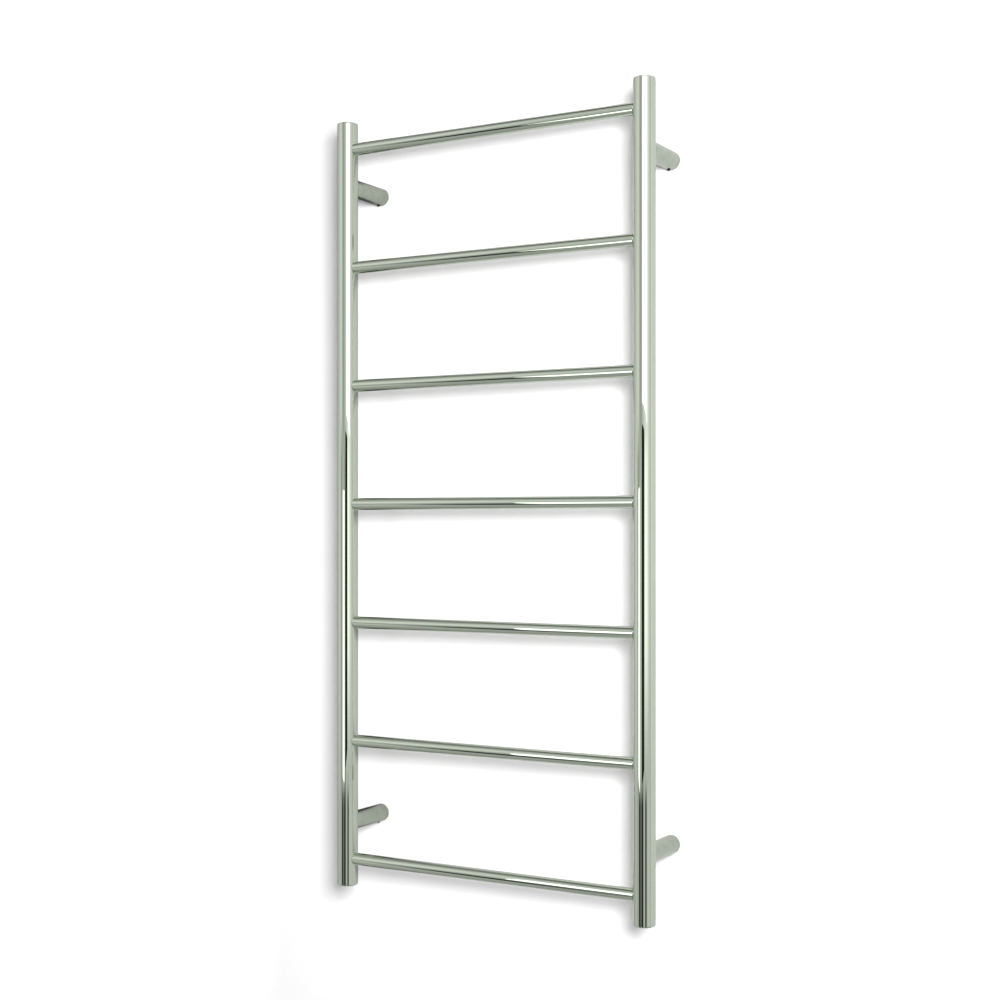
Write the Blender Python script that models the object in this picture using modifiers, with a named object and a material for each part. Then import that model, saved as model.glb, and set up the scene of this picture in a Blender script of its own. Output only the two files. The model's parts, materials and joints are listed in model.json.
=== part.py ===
"""Heated towel ladder for a wall, in metres, with +Z up and the wall on the +Y side.

X runs along the wall and the wall is the plane Y = 0. The origin lies on the wall, in the middle
of the four posts. Two round uprights carry seven round bars. A post from the back of each upright
slides over a spigot that is screwed to the wall, and a set screw under the post locks it there.
A heating cable winds through the uprights and the bars, and its lead leaves through one post.
"""

import math

import bpy
import bmesh
from mathutils import Matrix, Vector

# ------------------------------------------------------------------ overall sizes
HEIGHT = 1.100              # uprights, from cap face to cap face
WIDTH = 0.500               # over the outsides of the uprights
WALL_OFFSET = 0.088         # wall to the axes of the uprights

# ------------------------------------------------------------------ tubes
UPRIGHT_DIAMETER = 0.030
UPRIGHT_WALL = 0.0015
BAR_DIAMETER = 0.017
BAR_WALL = 0.0012
BAR_COUNT = 7
END_BAR_INSET = 0.0385      # end of an upright to the axis of its nearest bar
POST_DIAMETER = 0.0254
POST_WALL = 0.0025
POST_FROM_END_BAR = 0.052   # axis of an end bar to the axis of the post beside it
BAR_HOLE_DIAMETER = 0.010   # way from an upright into a bar, for the heating cable
LEAD_HOLE_DIAMETER = 0.012  # way from the wired post into its upright

# ------------------------------------------------------------------ end caps
CAP_THICKNESS = 0.002
CAP_PLUG_DEPTH = 0.004
CAP_EDGE = 0.0012           # rounding of the cap's rim

# ------------------------------------------------------------------ wall spigots and their screws
SPIGOT_LENGTH = 0.018
SPIGOT_BASE = 0.005         # metal between the wall and the screw's head
SPIGOT_CHAMFER = 0.0008
HEAD_CLEARANCE = 0.0005     # around the head and the shank of a wall screw
WALL_SCREW_DIAMETER = 0.0042
WALL_SCREW_LENGTH = 0.040   # under the head
WALL_SCREW_HEAD_DIAMETER = 0.0076
WALL_SCREW_HEAD_HEIGHT = 0.0026
WALL_SCREW_POINT = 0.005
SPIGOT_RIM = 0.0009         # metal outside the two holes in the wired spigot

# ------------------------------------------------------------------ set screws under the posts
SET_SCREW_DIAMETER = 0.0046
SET_SCREW_LENGTH = 0.004
SET_SCREW_FROM_WALL = 0.009
SET_SCREW_CHAMFER = 0.0004
SET_SCREW_TIP = 0.0008
HEX_KEY = 0.0025            # across the flats of the socket
HEX_DEPTH = 0.0018

# ------------------------------------------------------------------ wiring
CABLE_DIAMETER = 0.005
LEAD_DIAMETER = 0.005
SPLICE_DIAMETER = 0.0104
SPLICE_LENGTH = 0.018
SPLICE_RUN = 0.002          # straight lead between its last bend and the splice
CUTOUT_DIAMETER = 0.0076
CUTOUT_LENGTH = 0.020
CUTOUT_FROM_SPIGOT = 0.008  # from the wired spigot's face to the cut-out
END_SEAL_DIAMETER = 0.0074
END_SEAL_LENGTH = 0.010
END_SEAL_CLEARANCE = 0.002  # from the seal to the cap above it
BUSH_WALL = 0.0010
BUSH_DEPTH = 0.010
BUSH_FLANGE = 0.0008        # how far the flange stands out, and its thickness
LEAD_RETURN = 0.010         # length over which the lead comes back to the post's axis
LEAD_RETURN_BEND = 0.006    # radius of the two bends of that return

# ------------------------------------------------------------------ earth bond in the wired upright
STUD_DIAMETER = 0.0036
STUD_LENGTH = 0.0085
LUG_DIAMETER = 0.0086
LUG_THICKNESS = 0.0008
LUG_BARREL_DIAMETER = 0.0036
LUG_BARREL_LENGTH = 0.006
NUT_FLATS = 0.007
NUT_THICKNESS = 0.003
EARTH_WIRE_DIAMETER = 0.0022
EARTH_WIRE_SIDE = 0.0060    # wire and lug barrel, from the upright's axis

# ------------------------------------------------------------------ fits and smoothness
GAP = 0.0003                # between two pieces that touch
UPRIGHT_SIDES = 40
POST_SIDES = 32
BAR_SIDES = 32
SMALL_SIDES = 16
EDGE_STEPS = 2              # segments of a small rounded rim
BEND_STEPS = 4              # segments of each bend of a wire
COPE_TWIST = math.pi / 2    # turns a cope's facets in line with the upright's
CUTTER_MARGIN = 0.002       # how far a cutter stands past what it cuts
HOLE_TWIST = 0.11           # turn of a drill, so that its edges and the drilled facets don't line up

# ------------------------------------------------------------------ worked out from the sizes above
UPRIGHT_R = UPRIGHT_DIAMETER / 2
UPRIGHT_BORE_R = UPRIGHT_R - UPRIGHT_WALL
UPRIGHT_X = WIDTH / 2 - UPRIGHT_R
BAR_R = BAR_DIAMETER / 2
BAR_TOP_Z = HEIGHT / 2 - END_BAR_INSET
BAR_PITCH = 2 * BAR_TOP_Z / (BAR_COUNT - 1)
POST_R = POST_DIAMETER / 2
POST_BORE_R = POST_R - POST_WALL
POST_Z = BAR_TOP_Z - POST_FROM_END_BAR
SPIGOT_R = POST_BORE_R - GAP
CAP_DEPTH = CAP_THICKNESS + GAP + CAP_PLUG_DEPTH
CABLE_BEND = UPRIGHT_BORE_R - CABLE_DIAMETER / 2
LEAD_BEND = UPRIGHT_BORE_R - LEAD_DIAMETER / 2
LEAD_BORE_R = LEAD_DIAMETER / 2 + BUSH_WALL + 2 * GAP
SPLICE_TOP_Z = -POST_Z - LEAD_BEND - SPLICE_RUN - GAP
SPLICE_BOTTOM_Z = SPLICE_TOP_Z - SPLICE_LENGTH
SHANK_HOLE_R = WALL_SCREW_DIAMETER / 2 + HEAD_CLEARANCE
HEAD_HOLE_R = WALL_SCREW_HEAD_DIAMETER / 2 + HEAD_CLEARANCE
WIRED_SIDE = 1              # the lead leaves through the lower post on the +X side
WIRED_SCREW_X = WIRED_SIDE * (UPRIGHT_X - (SPIGOT_R - SPIGOT_RIM - HEAD_HOLE_R))
LEAD_X = WIRED_SIDE * (UPRIGHT_X + SPIGOT_R - SPIGOT_RIM - LEAD_BORE_R)

SIDES = {"left": -1, "right": 1}
ENDS = {"top": 1, "bottom": -1}

OUT_OF_WALL = (math.pi / 2, 0, 0)    # turns a piece's own +Z to -Y
INTO_WALL = (-math.pi / 2, 0, 0)     # turns a piece's own +Z to +Y
ALONG_WALL = (0, math.pi / 2, 0)     # turns a piece's own +Z to +X
UPSIDE_DOWN = (math.pi, 0, 0)
UPRIGHT = (0, 0, 0)


# ------------------------------------------------------------------ scene, collections, materials
def clear_scene():
    """Empty the scene of objects."""
    for obj in list(bpy.data.objects):
        bpy.data.objects.remove(obj, do_unlink=True)


def new_collection(name):
    """A collection linked to the scene."""
    collection = bpy.data.collections.new(name)
    bpy.context.scene.collection.children.link(collection)
    return collection


def new_material(name, colour, roughness, metallic):
    """A Principled BSDF material."""
    mat = bpy.data.materials.new(name)
    mat.use_nodes = True
    shader = mat.node_tree.nodes["Principled BSDF"]
    shader.inputs["Base Color"].default_value = (*colour, 1)
    shader.inputs["Roughness"].default_value = roughness
    shader.inputs["Metallic"].default_value = metallic
    mat.diffuse_color = (*colour, 1)
    return mat


clear_scene()
PARTS = new_collection("towel_warmer_rack")
CUTTERS = new_collection("cutters")

POLISHED = new_material("polished_steel", (0.70, 0.72, 0.68), 0.06, 1)
BLACK_STEEL = new_material("black_steel", (0.02, 0.02, 0.02), 0.45, 1)
TURNED = new_material("turned_steel", (0.55, 0.56, 0.56), 0.35, 1)
ZINC = new_material("zinc_plate", (0.62, 0.63, 0.60), 0.32, 1)
BRASS = new_material("brass", (0.72, 0.52, 0.22), 0.30, 1)
CABLE_JACKET = new_material("cable_jacket", (0.62, 0.20, 0.12), 0.55, 0)
LEAD_JACKET = new_material("lead_jacket", (0.10, 0.10, 0.10), 0.55, 0)
SHRINK_SLEEVE = new_material("shrink_sleeve", (0.03, 0.03, 0.03), 0.50, 0)
CUTOUT_BODY = new_material("cutout_body", (0.85, 0.84, 0.80), 0.45, 0)
EARTH_JACKET = new_material("earth_jacket", (0.18, 0.52, 0.12), 0.50, 0)
BUSH_PLASTIC = new_material("bush_plastic", (0.88, 0.88, 0.86), 0.45, 0)


# ------------------------------------------------------------------ modelling helpers
def add_part(name, data, mat, location=(0, 0, 0), rotation=UPRIGHT):
    """A named piece of the object, placed and given its material."""
    obj = bpy.data.objects.new(name, data)
    obj.location = location
    obj.rotation_euler = rotation
    data.materials.append(mat)
    PARTS.objects.link(obj)
    return obj


def turned(name, profile, sides, mat, location, rotation=UPRIGHT, closed=False):
    """A piece turned about its own Z from (radius, height) points.

    The outer side of the profile runs from the top down. A closed profile leaves a bore.
    """
    mesh = bpy.data.meshes.new(name)
    points = [(radius, 0, height) for radius, height in profile]
    edges = [(i, i + 1) for i in range(len(points) - 1)]
    if closed:
        edges.append((len(points) - 1, 0))
    mesh.from_pydata(points, edges, [])
    obj = add_part(name, mesh, mat, location, rotation)
    screw = obj.modifiers.new("turn", "SCREW")
    screw.axis = "Z"
    screw.angle = 2 * math.pi
    screw.steps = sides
    screw.render_steps = sides
    screw.use_merge_vertices = True
    screw.merge_threshold = 0.00001
    screw.use_smooth_shade = True
    return obj


def rounded_rim(radius, top, edge):
    """Points of a rim's quarter round, from its top to its side."""
    angles = [math.pi / 2 * (1 - i / EDGE_STEPS) for i in range(EDGE_STEPS + 1)]
    return [
        (radius - edge + edge * math.cos(a), top - edge + edge * math.sin(a)) for a in angles
    ]


def tube(name, radius, bore, length, sides, mat, location, rotation=UPRIGHT):
    """A plain tube from its own z = 0 up to its length."""
    profile = [(radius, length), (radius, 0), (bore, 0), (bore, length)]
    return turned(name, profile, sides, mat, location, rotation, closed=True)


def cylinder_cutter(
    name, radius, length, location, rotation=UPRIGHT, sides=SMALL_SIDES, twist=HOLE_TWIST
):
    """A hidden solid cylinder, or prism, from its own z = 0 up to its length."""
    shape = bmesh.new()
    bmesh.ops.create_cone(
        shape, cap_ends=True, segments=sides, radius1=radius, radius2=radius, depth=length
    )
    bmesh.ops.translate(shape, vec=(0, 0, length / 2), verts=shape.verts)
    bmesh.ops.rotate(shape, matrix=Matrix.Rotation(twist, 3, "Z"), verts=shape.verts)
    mesh = bpy.data.meshes.new(name)
    shape.to_mesh(mesh)
    shape.free()
    obj = bpy.data.objects.new(name, mesh)
    obj.location = location
    obj.rotation_euler = rotation
    obj.hide_render = True
    obj.display_type = "WIRE"
    CUTTERS.objects.link(obj)
    return obj


def combine(obj, other, operation):
    """Cut the other solid out of a piece, or join it on."""
    boolean = obj.modifiers.new(other.name, "BOOLEAN")
    boolean.operation = operation
    boolean.solver = "EXACT"
    boolean.object = other


def filleted(corners, radii):
    """The corners of a wire's route, with each inner one turned into a bend of its radius."""
    route = [Vector(corner) for corner in corners]
    points = [route[0]]
    for before, corner, after, radius in zip(route, route[1:], route[2:], radii):
        back = (before - corner).normalized()
        ahead = (after - corner).normalized()
        half = back.angle(ahead) / 2
        centre = corner + (back + ahead).normalized() * radius / math.sin(half)
        start = (corner + back * radius / math.tan(half) - centre).normalized()
        end = (corner + ahead * radius / math.tan(half) - centre).normalized()
        for i in range(BEND_STEPS + 1):
            points.append(centre + start.slerp(end, i / BEND_STEPS) * radius)
    points.append(route[-1])
    return points


def wire(name, points, diameter, mat):
    """A round wire with flat ends along a list of points."""
    curve = bpy.data.curves.new(name, "CURVE")
    curve.dimensions = "3D"
    curve.bevel_depth = diameter / 2
    curve.bevel_resolution = 2
    curve.use_fill_caps = True
    spline = curve.splines.new("POLY")
    spline.points.add(len(points) - 1)
    for place, point in zip(spline.points, points):
        place.co = (*point, 1)
    return add_part(name, curve, mat)


# ------------------------------------------------------------------ places
def bar_z(number):
    """Height of a bar's axis; bar 1 is the top one."""
    return BAR_TOP_Z - (number - 1) * BAR_PITCH


def post_place(end, side):
    """Where a post's axis meets the wall."""
    return (SIDES[side] * UPRIGHT_X, 0, ENDS[end] * POST_Z)


def is_wired(end, side):
    """Whether the lead leaves through this post."""
    return end == "bottom" and SIDES[side] == WIRED_SIDE


# ------------------------------------------------------------------ ladder
def upright_cope(side):
    """The space that an upright takes out of the bars and posts that meet it."""
    start = (SIDES[side] * UPRIGHT_X, -WALL_OFFSET, -HEIGHT / 2)
    return cylinder_cutter(
        f"{side}_cope", UPRIGHT_R + GAP, HEIGHT, start, sides=UPRIGHT_SIDES, twist=COPE_TWIST
    )


def build_upright(side):
    """A round upright with a hole into each bar, and one into the wired post."""
    x = SIDES[side] * UPRIGHT_X
    length = HEIGHT - 2 * (CAP_THICKNESS + GAP)
    start = (x, -WALL_OFFSET, -length / 2)
    upright = tube(
        f"{side}_upright", UPRIGHT_R, UPRIGHT_BORE_R, length, UPRIGHT_SIDES, POLISHED, start
    )
    inward = (0, -SIDES[side] * math.pi / 2, 0)
    reach = UPRIGHT_R + CUTTER_MARGIN
    for number in range(1, BAR_COUNT + 1):
        hole = cylinder_cutter(
            f"{side}_bar_hole_{number}",
            BAR_HOLE_DIAMETER / 2,
            reach,
            (x, -WALL_OFFSET, bar_z(number)),
            inward,
        )
        combine(upright, hole, "DIFFERENCE")
    if SIDES[side] == WIRED_SIDE:
        place = (x, -WALL_OFFSET, -POST_Z)
        hole = cylinder_cutter(
            f"{side}_lead_hole", LEAD_HOLE_DIAMETER / 2, reach, place, INTO_WALL
        )
        combine(upright, hole, "DIFFERENCE")


def build_bar(number, copes):
    """A round bar between the uprights, with its ends coped to them."""
    start = (-UPRIGHT_X, -WALL_OFFSET, bar_z(number))
    bar = tube(
        f"bar_{number}",
        BAR_R,
        BAR_R - BAR_WALL,
        2 * UPRIGHT_X,
        BAR_SIDES,
        POLISHED,
        start,
        ALONG_WALL,
    )
    for cope in copes.values():
        combine(bar, cope, "DIFFERENCE")


def build_cap(end, side):
    """The end cap of an upright: a rim as wide as the tube, on a plug that fits its bore."""
    profile = [(0, 0), *rounded_rim(UPRIGHT_R, 0, CAP_EDGE)]
    profile += [
        (UPRIGHT_R, -CAP_THICKNESS),
        (UPRIGHT_BORE_R - GAP, -CAP_THICKNESS),
        (UPRIGHT_BORE_R - GAP, -CAP_DEPTH),
        (0, -CAP_DEPTH),
    ]
    place = (SIDES[side] * UPRIGHT_X, -WALL_OFFSET, ENDS[end] * HEIGHT / 2)
    turn = UPRIGHT if end == "top" else UPSIDE_DOWN
    turned(f"cap_{end}_{side}", profile, UPRIGHT_SIDES, POLISHED, place, turn)


def build_post(end, side, cope):
    """A post from the wall to an upright, open at the wall, with its set screw's hole."""
    place = post_place(end, side)
    post = tube(
        f"post_{end}_{side}",
        POST_R,
        POST_BORE_R,
        WALL_OFFSET,
        POST_SIDES,
        POLISHED,
        place,
        OUT_OF_WALL,
    )
    combine(post, cope, "DIFFERENCE")
    hole = cylinder_cutter(
        f"{end}_{side}_set_screw_hole",
        SET_SCREW_DIAMETER / 2 + GAP,
        POST_R + CUTTER_MARGIN,
        (place[0], -SET_SCREW_FROM_WALL, place[2]),
        UPSIDE_DOWN,
    )
    combine(post, hole, "DIFFERENCE")


# ------------------------------------------------------------------ fixings
def build_set_screw(end, side):
    """A headless screw with a hexagon socket, its tip against the spigot."""
    x, _, z = post_place(end, side)
    radius = SET_SCREW_DIAMETER / 2
    profile = [
        (0, 0),
        (radius - SET_SCREW_TIP, 0),
        (radius, -SET_SCREW_TIP),
        (radius, -SET_SCREW_LENGTH + SET_SCREW_CHAMFER),
        (radius - SET_SCREW_CHAMFER, -SET_SCREW_LENGTH),
        (0, -SET_SCREW_LENGTH),
    ]
    tip = (x, -SET_SCREW_FROM_WALL, z - SPIGOT_R - GAP)
    screw = turned(f"set_screw_{end}_{side}", profile, SMALL_SIDES, BLACK_STEEL, tip)
    outer_end = (tip[0], tip[1], tip[2] - SET_SCREW_LENGTH + HEX_DEPTH)
    socket = cylinder_cutter(
        f"{end}_{side}_hex_socket",
        HEX_KEY / math.sqrt(3),
        HEX_DEPTH + CUTTER_MARGIN,
        outer_end,
        UPSIDE_DOWN,
        sides=6,
    )
    combine(screw, socket, "DIFFERENCE")


def screw_x(end, side):
    """Where a wall screw goes: on the post's axis, or beside the lead in the wired one."""
    return WIRED_SCREW_X if is_wired(end, side) else SIDES[side] * UPRIGHT_X


def build_spigot(end, side):
    """The plug that is screwed to the wall, and that a post slides over."""
    place = post_place(end, side)
    outside = [
        (SPIGOT_R - SPIGOT_CHAMFER, SPIGOT_LENGTH),
        (SPIGOT_R, SPIGOT_LENGTH - SPIGOT_CHAMFER),
        (SPIGOT_R, 0),
    ]
    name = f"spigot_{end}_{side}"
    if not is_wired(end, side):
        inside = [
            (SHANK_HOLE_R, 0),
            (SHANK_HOLE_R, SPIGOT_BASE),
            (HEAD_HOLE_R, SPIGOT_BASE),
            (HEAD_HOLE_R, SPIGOT_LENGTH),
        ]
        turned(name, outside + inside, POST_SIDES, TURNED, place, OUT_OF_WALL, closed=True)
        return
    profile = [(0, SPIGOT_LENGTH), *outside, (0, 0)]
    spigot = turned(name, profile, POST_SIDES, TURNED, place, OUT_OF_WALL)
    x = screw_x(end, side)
    through = SPIGOT_LENGTH + 2 * CUTTER_MARGIN
    shank_hole = cylinder_cutter(
        f"{end}_{side}_shank_hole",
        SHANK_HOLE_R,
        through,
        (x, CUTTER_MARGIN, place[2]),
        OUT_OF_WALL,
    )
    head_hole = cylinder_cutter(
        f"{end}_{side}_head_hole",
        HEAD_HOLE_R,
        through,
        (x, -SPIGOT_BASE, place[2]),
        OUT_OF_WALL,
    )
    lead_bore = cylinder_cutter(
        f"{end}_{side}_lead_bore",
        LEAD_BORE_R,
        through,
        (LEAD_X, CUTTER_MARGIN, place[2]),
        OUT_OF_WALL,
    )
    for drill in (shank_hole, head_hole, lead_bore):
        combine(spigot, drill, "DIFFERENCE")


def build_wall_screw(end, side):
    """A pan-head screw through the spigot into the wall."""
    head_r = WALL_SCREW_HEAD_DIAMETER / 2
    shank_r = WALL_SCREW_DIAMETER / 2
    profile = [
        (0, WALL_SCREW_HEAD_HEIGHT),
        *rounded_rim(head_r, WALL_SCREW_HEAD_HEIGHT, WALL_SCREW_HEAD_HEIGHT / 2),
        (head_r, 0),
        (shank_r, 0),
        (shank_r, WALL_SCREW_POINT - WALL_SCREW_LENGTH),
        (0, -WALL_SCREW_LENGTH),
    ]
    place = (screw_x(end, side), -SPIGOT_BASE - GAP, ENDS[end] * POST_Z)
    turned(f"wall_screw_{end}_{side}", profile, SMALL_SIDES, ZINC, place, OUT_OF_WALL)


# ------------------------------------------------------------------ wiring
def build_heating_cable():
    """The heating cable, from the splice through every bar in turn, bottom to top."""
    x = WIRED_SIDE * UPRIGHT_X
    corners = [(x, -WALL_OFFSET, SPLICE_BOTTOM_Z - GAP)]
    for number in range(BAR_COUNT, 0, -1):
        corners.append((x, -WALL_OFFSET, bar_z(number)))
        x = -x
        corners.append((x, -WALL_OFFSET, bar_z(number)))
    seal_z = HEIGHT / 2 - CAP_DEPTH - END_SEAL_CLEARANCE - END_SEAL_LENGTH
    corners.append((x, -WALL_OFFSET, seal_z - GAP))
    points = filleted(corners, [CABLE_BEND] * 2 * BAR_COUNT)
    wire("heating_cable", points, CABLE_DIAMETER, CABLE_JACKET)
    seal_place = (x, -WALL_OFFSET, seal_z)
    plug("cable_end_seal", END_SEAL_DIAMETER, END_SEAL_LENGTH, SHRINK_SLEEVE, seal_place)


def plug(name, diameter, length, mat, location, rotation=UPRIGHT):
    """A solid sleeve with rounded ends, from its own z = 0 up to its length."""
    edge = diameter / 8
    top = rounded_rim(diameter / 2, length, edge)
    bottom = [(radius, length - height) for radius, height in reversed(top)]
    profile = [(0, length), *top, *bottom, (0, 0)]
    turned(name, profile, SMALL_SIDES, mat, location, rotation)


def build_leads():
    """The lead through the wired post, with its thermal cut-out, bush and splice."""
    axis_x = WIRED_SIDE * UPRIGHT_X
    z = -POST_Z
    wall_side = -SPIGOT_LENGTH - CUTOUT_FROM_SPIGOT
    rail_side = wall_side - CUTOUT_LENGTH
    wire(
        "supply_lead",
        [Vector((LEAD_X, -GAP, z)), Vector((LEAD_X, wall_side + GAP, z))],
        LEAD_DIAMETER,
        LEAD_JACKET,
    )
    plug(
        "thermal_cutout",
        CUTOUT_DIAMETER,
        CUTOUT_LENGTH,
        CUTOUT_BODY,
        (LEAD_X, wall_side, z),
        OUT_OF_WALL,
    )
    return_end = -WALL_OFFSET + LEAD_BEND + LEAD_RETURN_BEND / 2
    route = [
        (LEAD_X, rail_side - GAP, z),
        (LEAD_X, return_end + LEAD_RETURN, z),
        (axis_x, return_end, z),
        (axis_x, -WALL_OFFSET, z),
        (axis_x, -WALL_OFFSET, SPLICE_TOP_Z + GAP),
    ]
    points = filleted(route, [LEAD_RETURN_BEND, LEAD_RETURN_BEND, LEAD_BEND])
    wire("link_lead", points, LEAD_DIAMETER, LEAD_JACKET)
    splice_place = (axis_x, -WALL_OFFSET, SPLICE_BOTTOM_Z)
    plug("splice_sleeve", SPLICE_DIAMETER, SPLICE_LENGTH, SHRINK_SLEEVE, splice_place)
    build_bush(z)


def build_bush(z):
    """The flanged bush in the wired spigot, that the lead passes through."""
    bore = LEAD_DIAMETER / 2 + GAP
    body = bore + BUSH_WALL
    flange_back = SPIGOT_LENGTH + GAP
    flange_front = flange_back + BUSH_FLANGE
    profile = [
        (body + BUSH_FLANGE, flange_front),
        (body + BUSH_FLANGE, flange_back),
        (body, flange_back),
        (body, flange_back - BUSH_DEPTH),
        (bore, flange_back - BUSH_DEPTH),
        (bore, flange_front),
    ]
    turned(
        "lead_bush", profile, SMALL_SIDES, BUSH_PLASTIC, (LEAD_X, 0, z), OUT_OF_WALL, closed=True
    )


def build_earth_bond():
    """The stud, lug, nut and wire that earth the metal, on the wired upright's lower cap."""
    x = WIRED_SIDE * UPRIGHT_X
    y = -WALL_OFFSET
    seat = -HEIGHT / 2 + CAP_DEPTH + GAP
    stud_r = STUD_DIAMETER / 2
    stud = [
        (0, STUD_LENGTH),
        *rounded_rim(stud_r, STUD_LENGTH, stud_r / 4),
        (stud_r, 0),
        (0, 0),
    ]
    turned("earth_stud", stud, SMALL_SIDES, BRASS, (x, y, seat))

    hole = stud_r + GAP
    tube("earth_lug", LUG_DIAMETER / 2, hole, LUG_THICKNESS, SMALL_SIDES, BRASS, (x, y, seat))
    lug = PARTS.objects["earth_lug"]
    barrel_x = x + EARTH_WIRE_SIDE * WIRED_SIDE
    barrel = cylinder_cutter(
        "lug_barrel", LUG_BARREL_DIAMETER / 2, LUG_BARREL_LENGTH, (barrel_x, y, seat)
    )
    combine(lug, barrel, "UNION")

    nut_z = seat + LUG_THICKNESS + GAP
    nut_profile_r = NUT_FLATS / math.sqrt(3)
    tube("earth_nut", nut_profile_r, hole, NUT_THICKNESS, SMALL_SIDES, BRASS, (x, y, nut_z))

    wire_x = x + WIRED_SIDE * (CABLE_DIAMETER / 2 + GAP + EARTH_WIRE_DIAMETER / 2)
    top = SPLICE_BOTTOM_Z - GAP
    route = [
        (wire_x, y, top),
        (wire_x, y, top - EARTH_WIRE_SIDE),
        (barrel_x, y, top - 2 * EARTH_WIRE_SIDE),
        (barrel_x, y, seat + LUG_BARREL_LENGTH + GAP),
    ]
    points = filleted(route, [EARTH_WIRE_DIAMETER] * 2)
    wire("earth_wire", points, EARTH_WIRE_DIAMETER, EARTH_JACKET)


def main():
    """Build every piece."""
    copes = {side: upright_cope(side) for side in SIDES}
    for side in SIDES:
        build_upright(side)
    for number in range(1, BAR_COUNT + 1):
        build_bar(number, copes)
    for end in ENDS:
        for side in SIDES:
            build_cap(end, side)
            build_post(end, side, copes[side])
            build_set_screw(end, side)
            build_spigot(end, side)
            build_wall_screw(end, side)
    build_heating_cable()
    build_leads()
    build_earth_bond()


main()
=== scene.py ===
"""Looks of a wall-mounted towel warmer rack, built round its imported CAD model."""

import json
import logging
import math
from collections.abc import Callable, Iterable, Mapping, Sequence
from dataclasses import dataclass, field
from enum import Enum

import bmesh
import bpy
from mathutils import Matrix, Vector


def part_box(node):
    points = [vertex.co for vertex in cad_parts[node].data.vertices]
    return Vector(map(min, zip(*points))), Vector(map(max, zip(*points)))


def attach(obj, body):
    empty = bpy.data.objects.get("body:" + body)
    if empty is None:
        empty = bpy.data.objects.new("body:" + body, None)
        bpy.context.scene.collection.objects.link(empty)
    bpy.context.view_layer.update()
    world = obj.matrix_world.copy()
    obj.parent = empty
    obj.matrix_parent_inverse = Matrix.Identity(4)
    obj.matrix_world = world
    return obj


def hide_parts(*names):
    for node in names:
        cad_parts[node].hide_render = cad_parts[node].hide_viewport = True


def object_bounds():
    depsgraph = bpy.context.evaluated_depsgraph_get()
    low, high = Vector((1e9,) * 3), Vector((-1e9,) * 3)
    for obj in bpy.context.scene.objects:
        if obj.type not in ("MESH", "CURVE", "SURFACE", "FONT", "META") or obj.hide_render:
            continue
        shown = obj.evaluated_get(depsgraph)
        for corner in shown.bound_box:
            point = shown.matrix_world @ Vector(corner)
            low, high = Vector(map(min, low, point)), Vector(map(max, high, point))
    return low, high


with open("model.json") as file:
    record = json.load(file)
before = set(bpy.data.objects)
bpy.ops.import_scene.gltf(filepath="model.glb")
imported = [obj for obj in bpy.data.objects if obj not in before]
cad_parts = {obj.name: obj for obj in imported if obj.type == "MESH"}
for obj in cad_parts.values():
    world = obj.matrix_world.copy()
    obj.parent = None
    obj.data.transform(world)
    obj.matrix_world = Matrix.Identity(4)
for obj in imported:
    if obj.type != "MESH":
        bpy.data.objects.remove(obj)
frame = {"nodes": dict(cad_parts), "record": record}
CAD_BOX = [list(corner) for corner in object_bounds()]

log = logging.getLogger("towel_rack")

MM = 0.001
UP = Vector((0, 0, 1))
DOWN = Vector((0, 0, -1))
OUT_OF_WALL = Vector((0, -1, 0))
ALONG_WALL = Vector((1, 0, 0))
FULL_TURN = 2 * math.pi
SMOOTH_LIMIT = math.radians(32)
MERGE = 2e-6
OFF_FACET = 0.11

Colour = tuple[float, float, float]


class Side(Enum):
    """The two uprights, as seen by someone who faces the wall."""

    LEFT = -1
    RIGHT = 1

    @property
    def word(self) -> str:
        """The side's part of a node's name."""
        return self.name.lower()


class End(Enum):
    """The two ends of an upright."""

    TOP = 1
    BOTTOM = -1

    @property
    def word(self) -> str:
        """The end's part of a node's name."""
        return self.name.lower()


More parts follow.
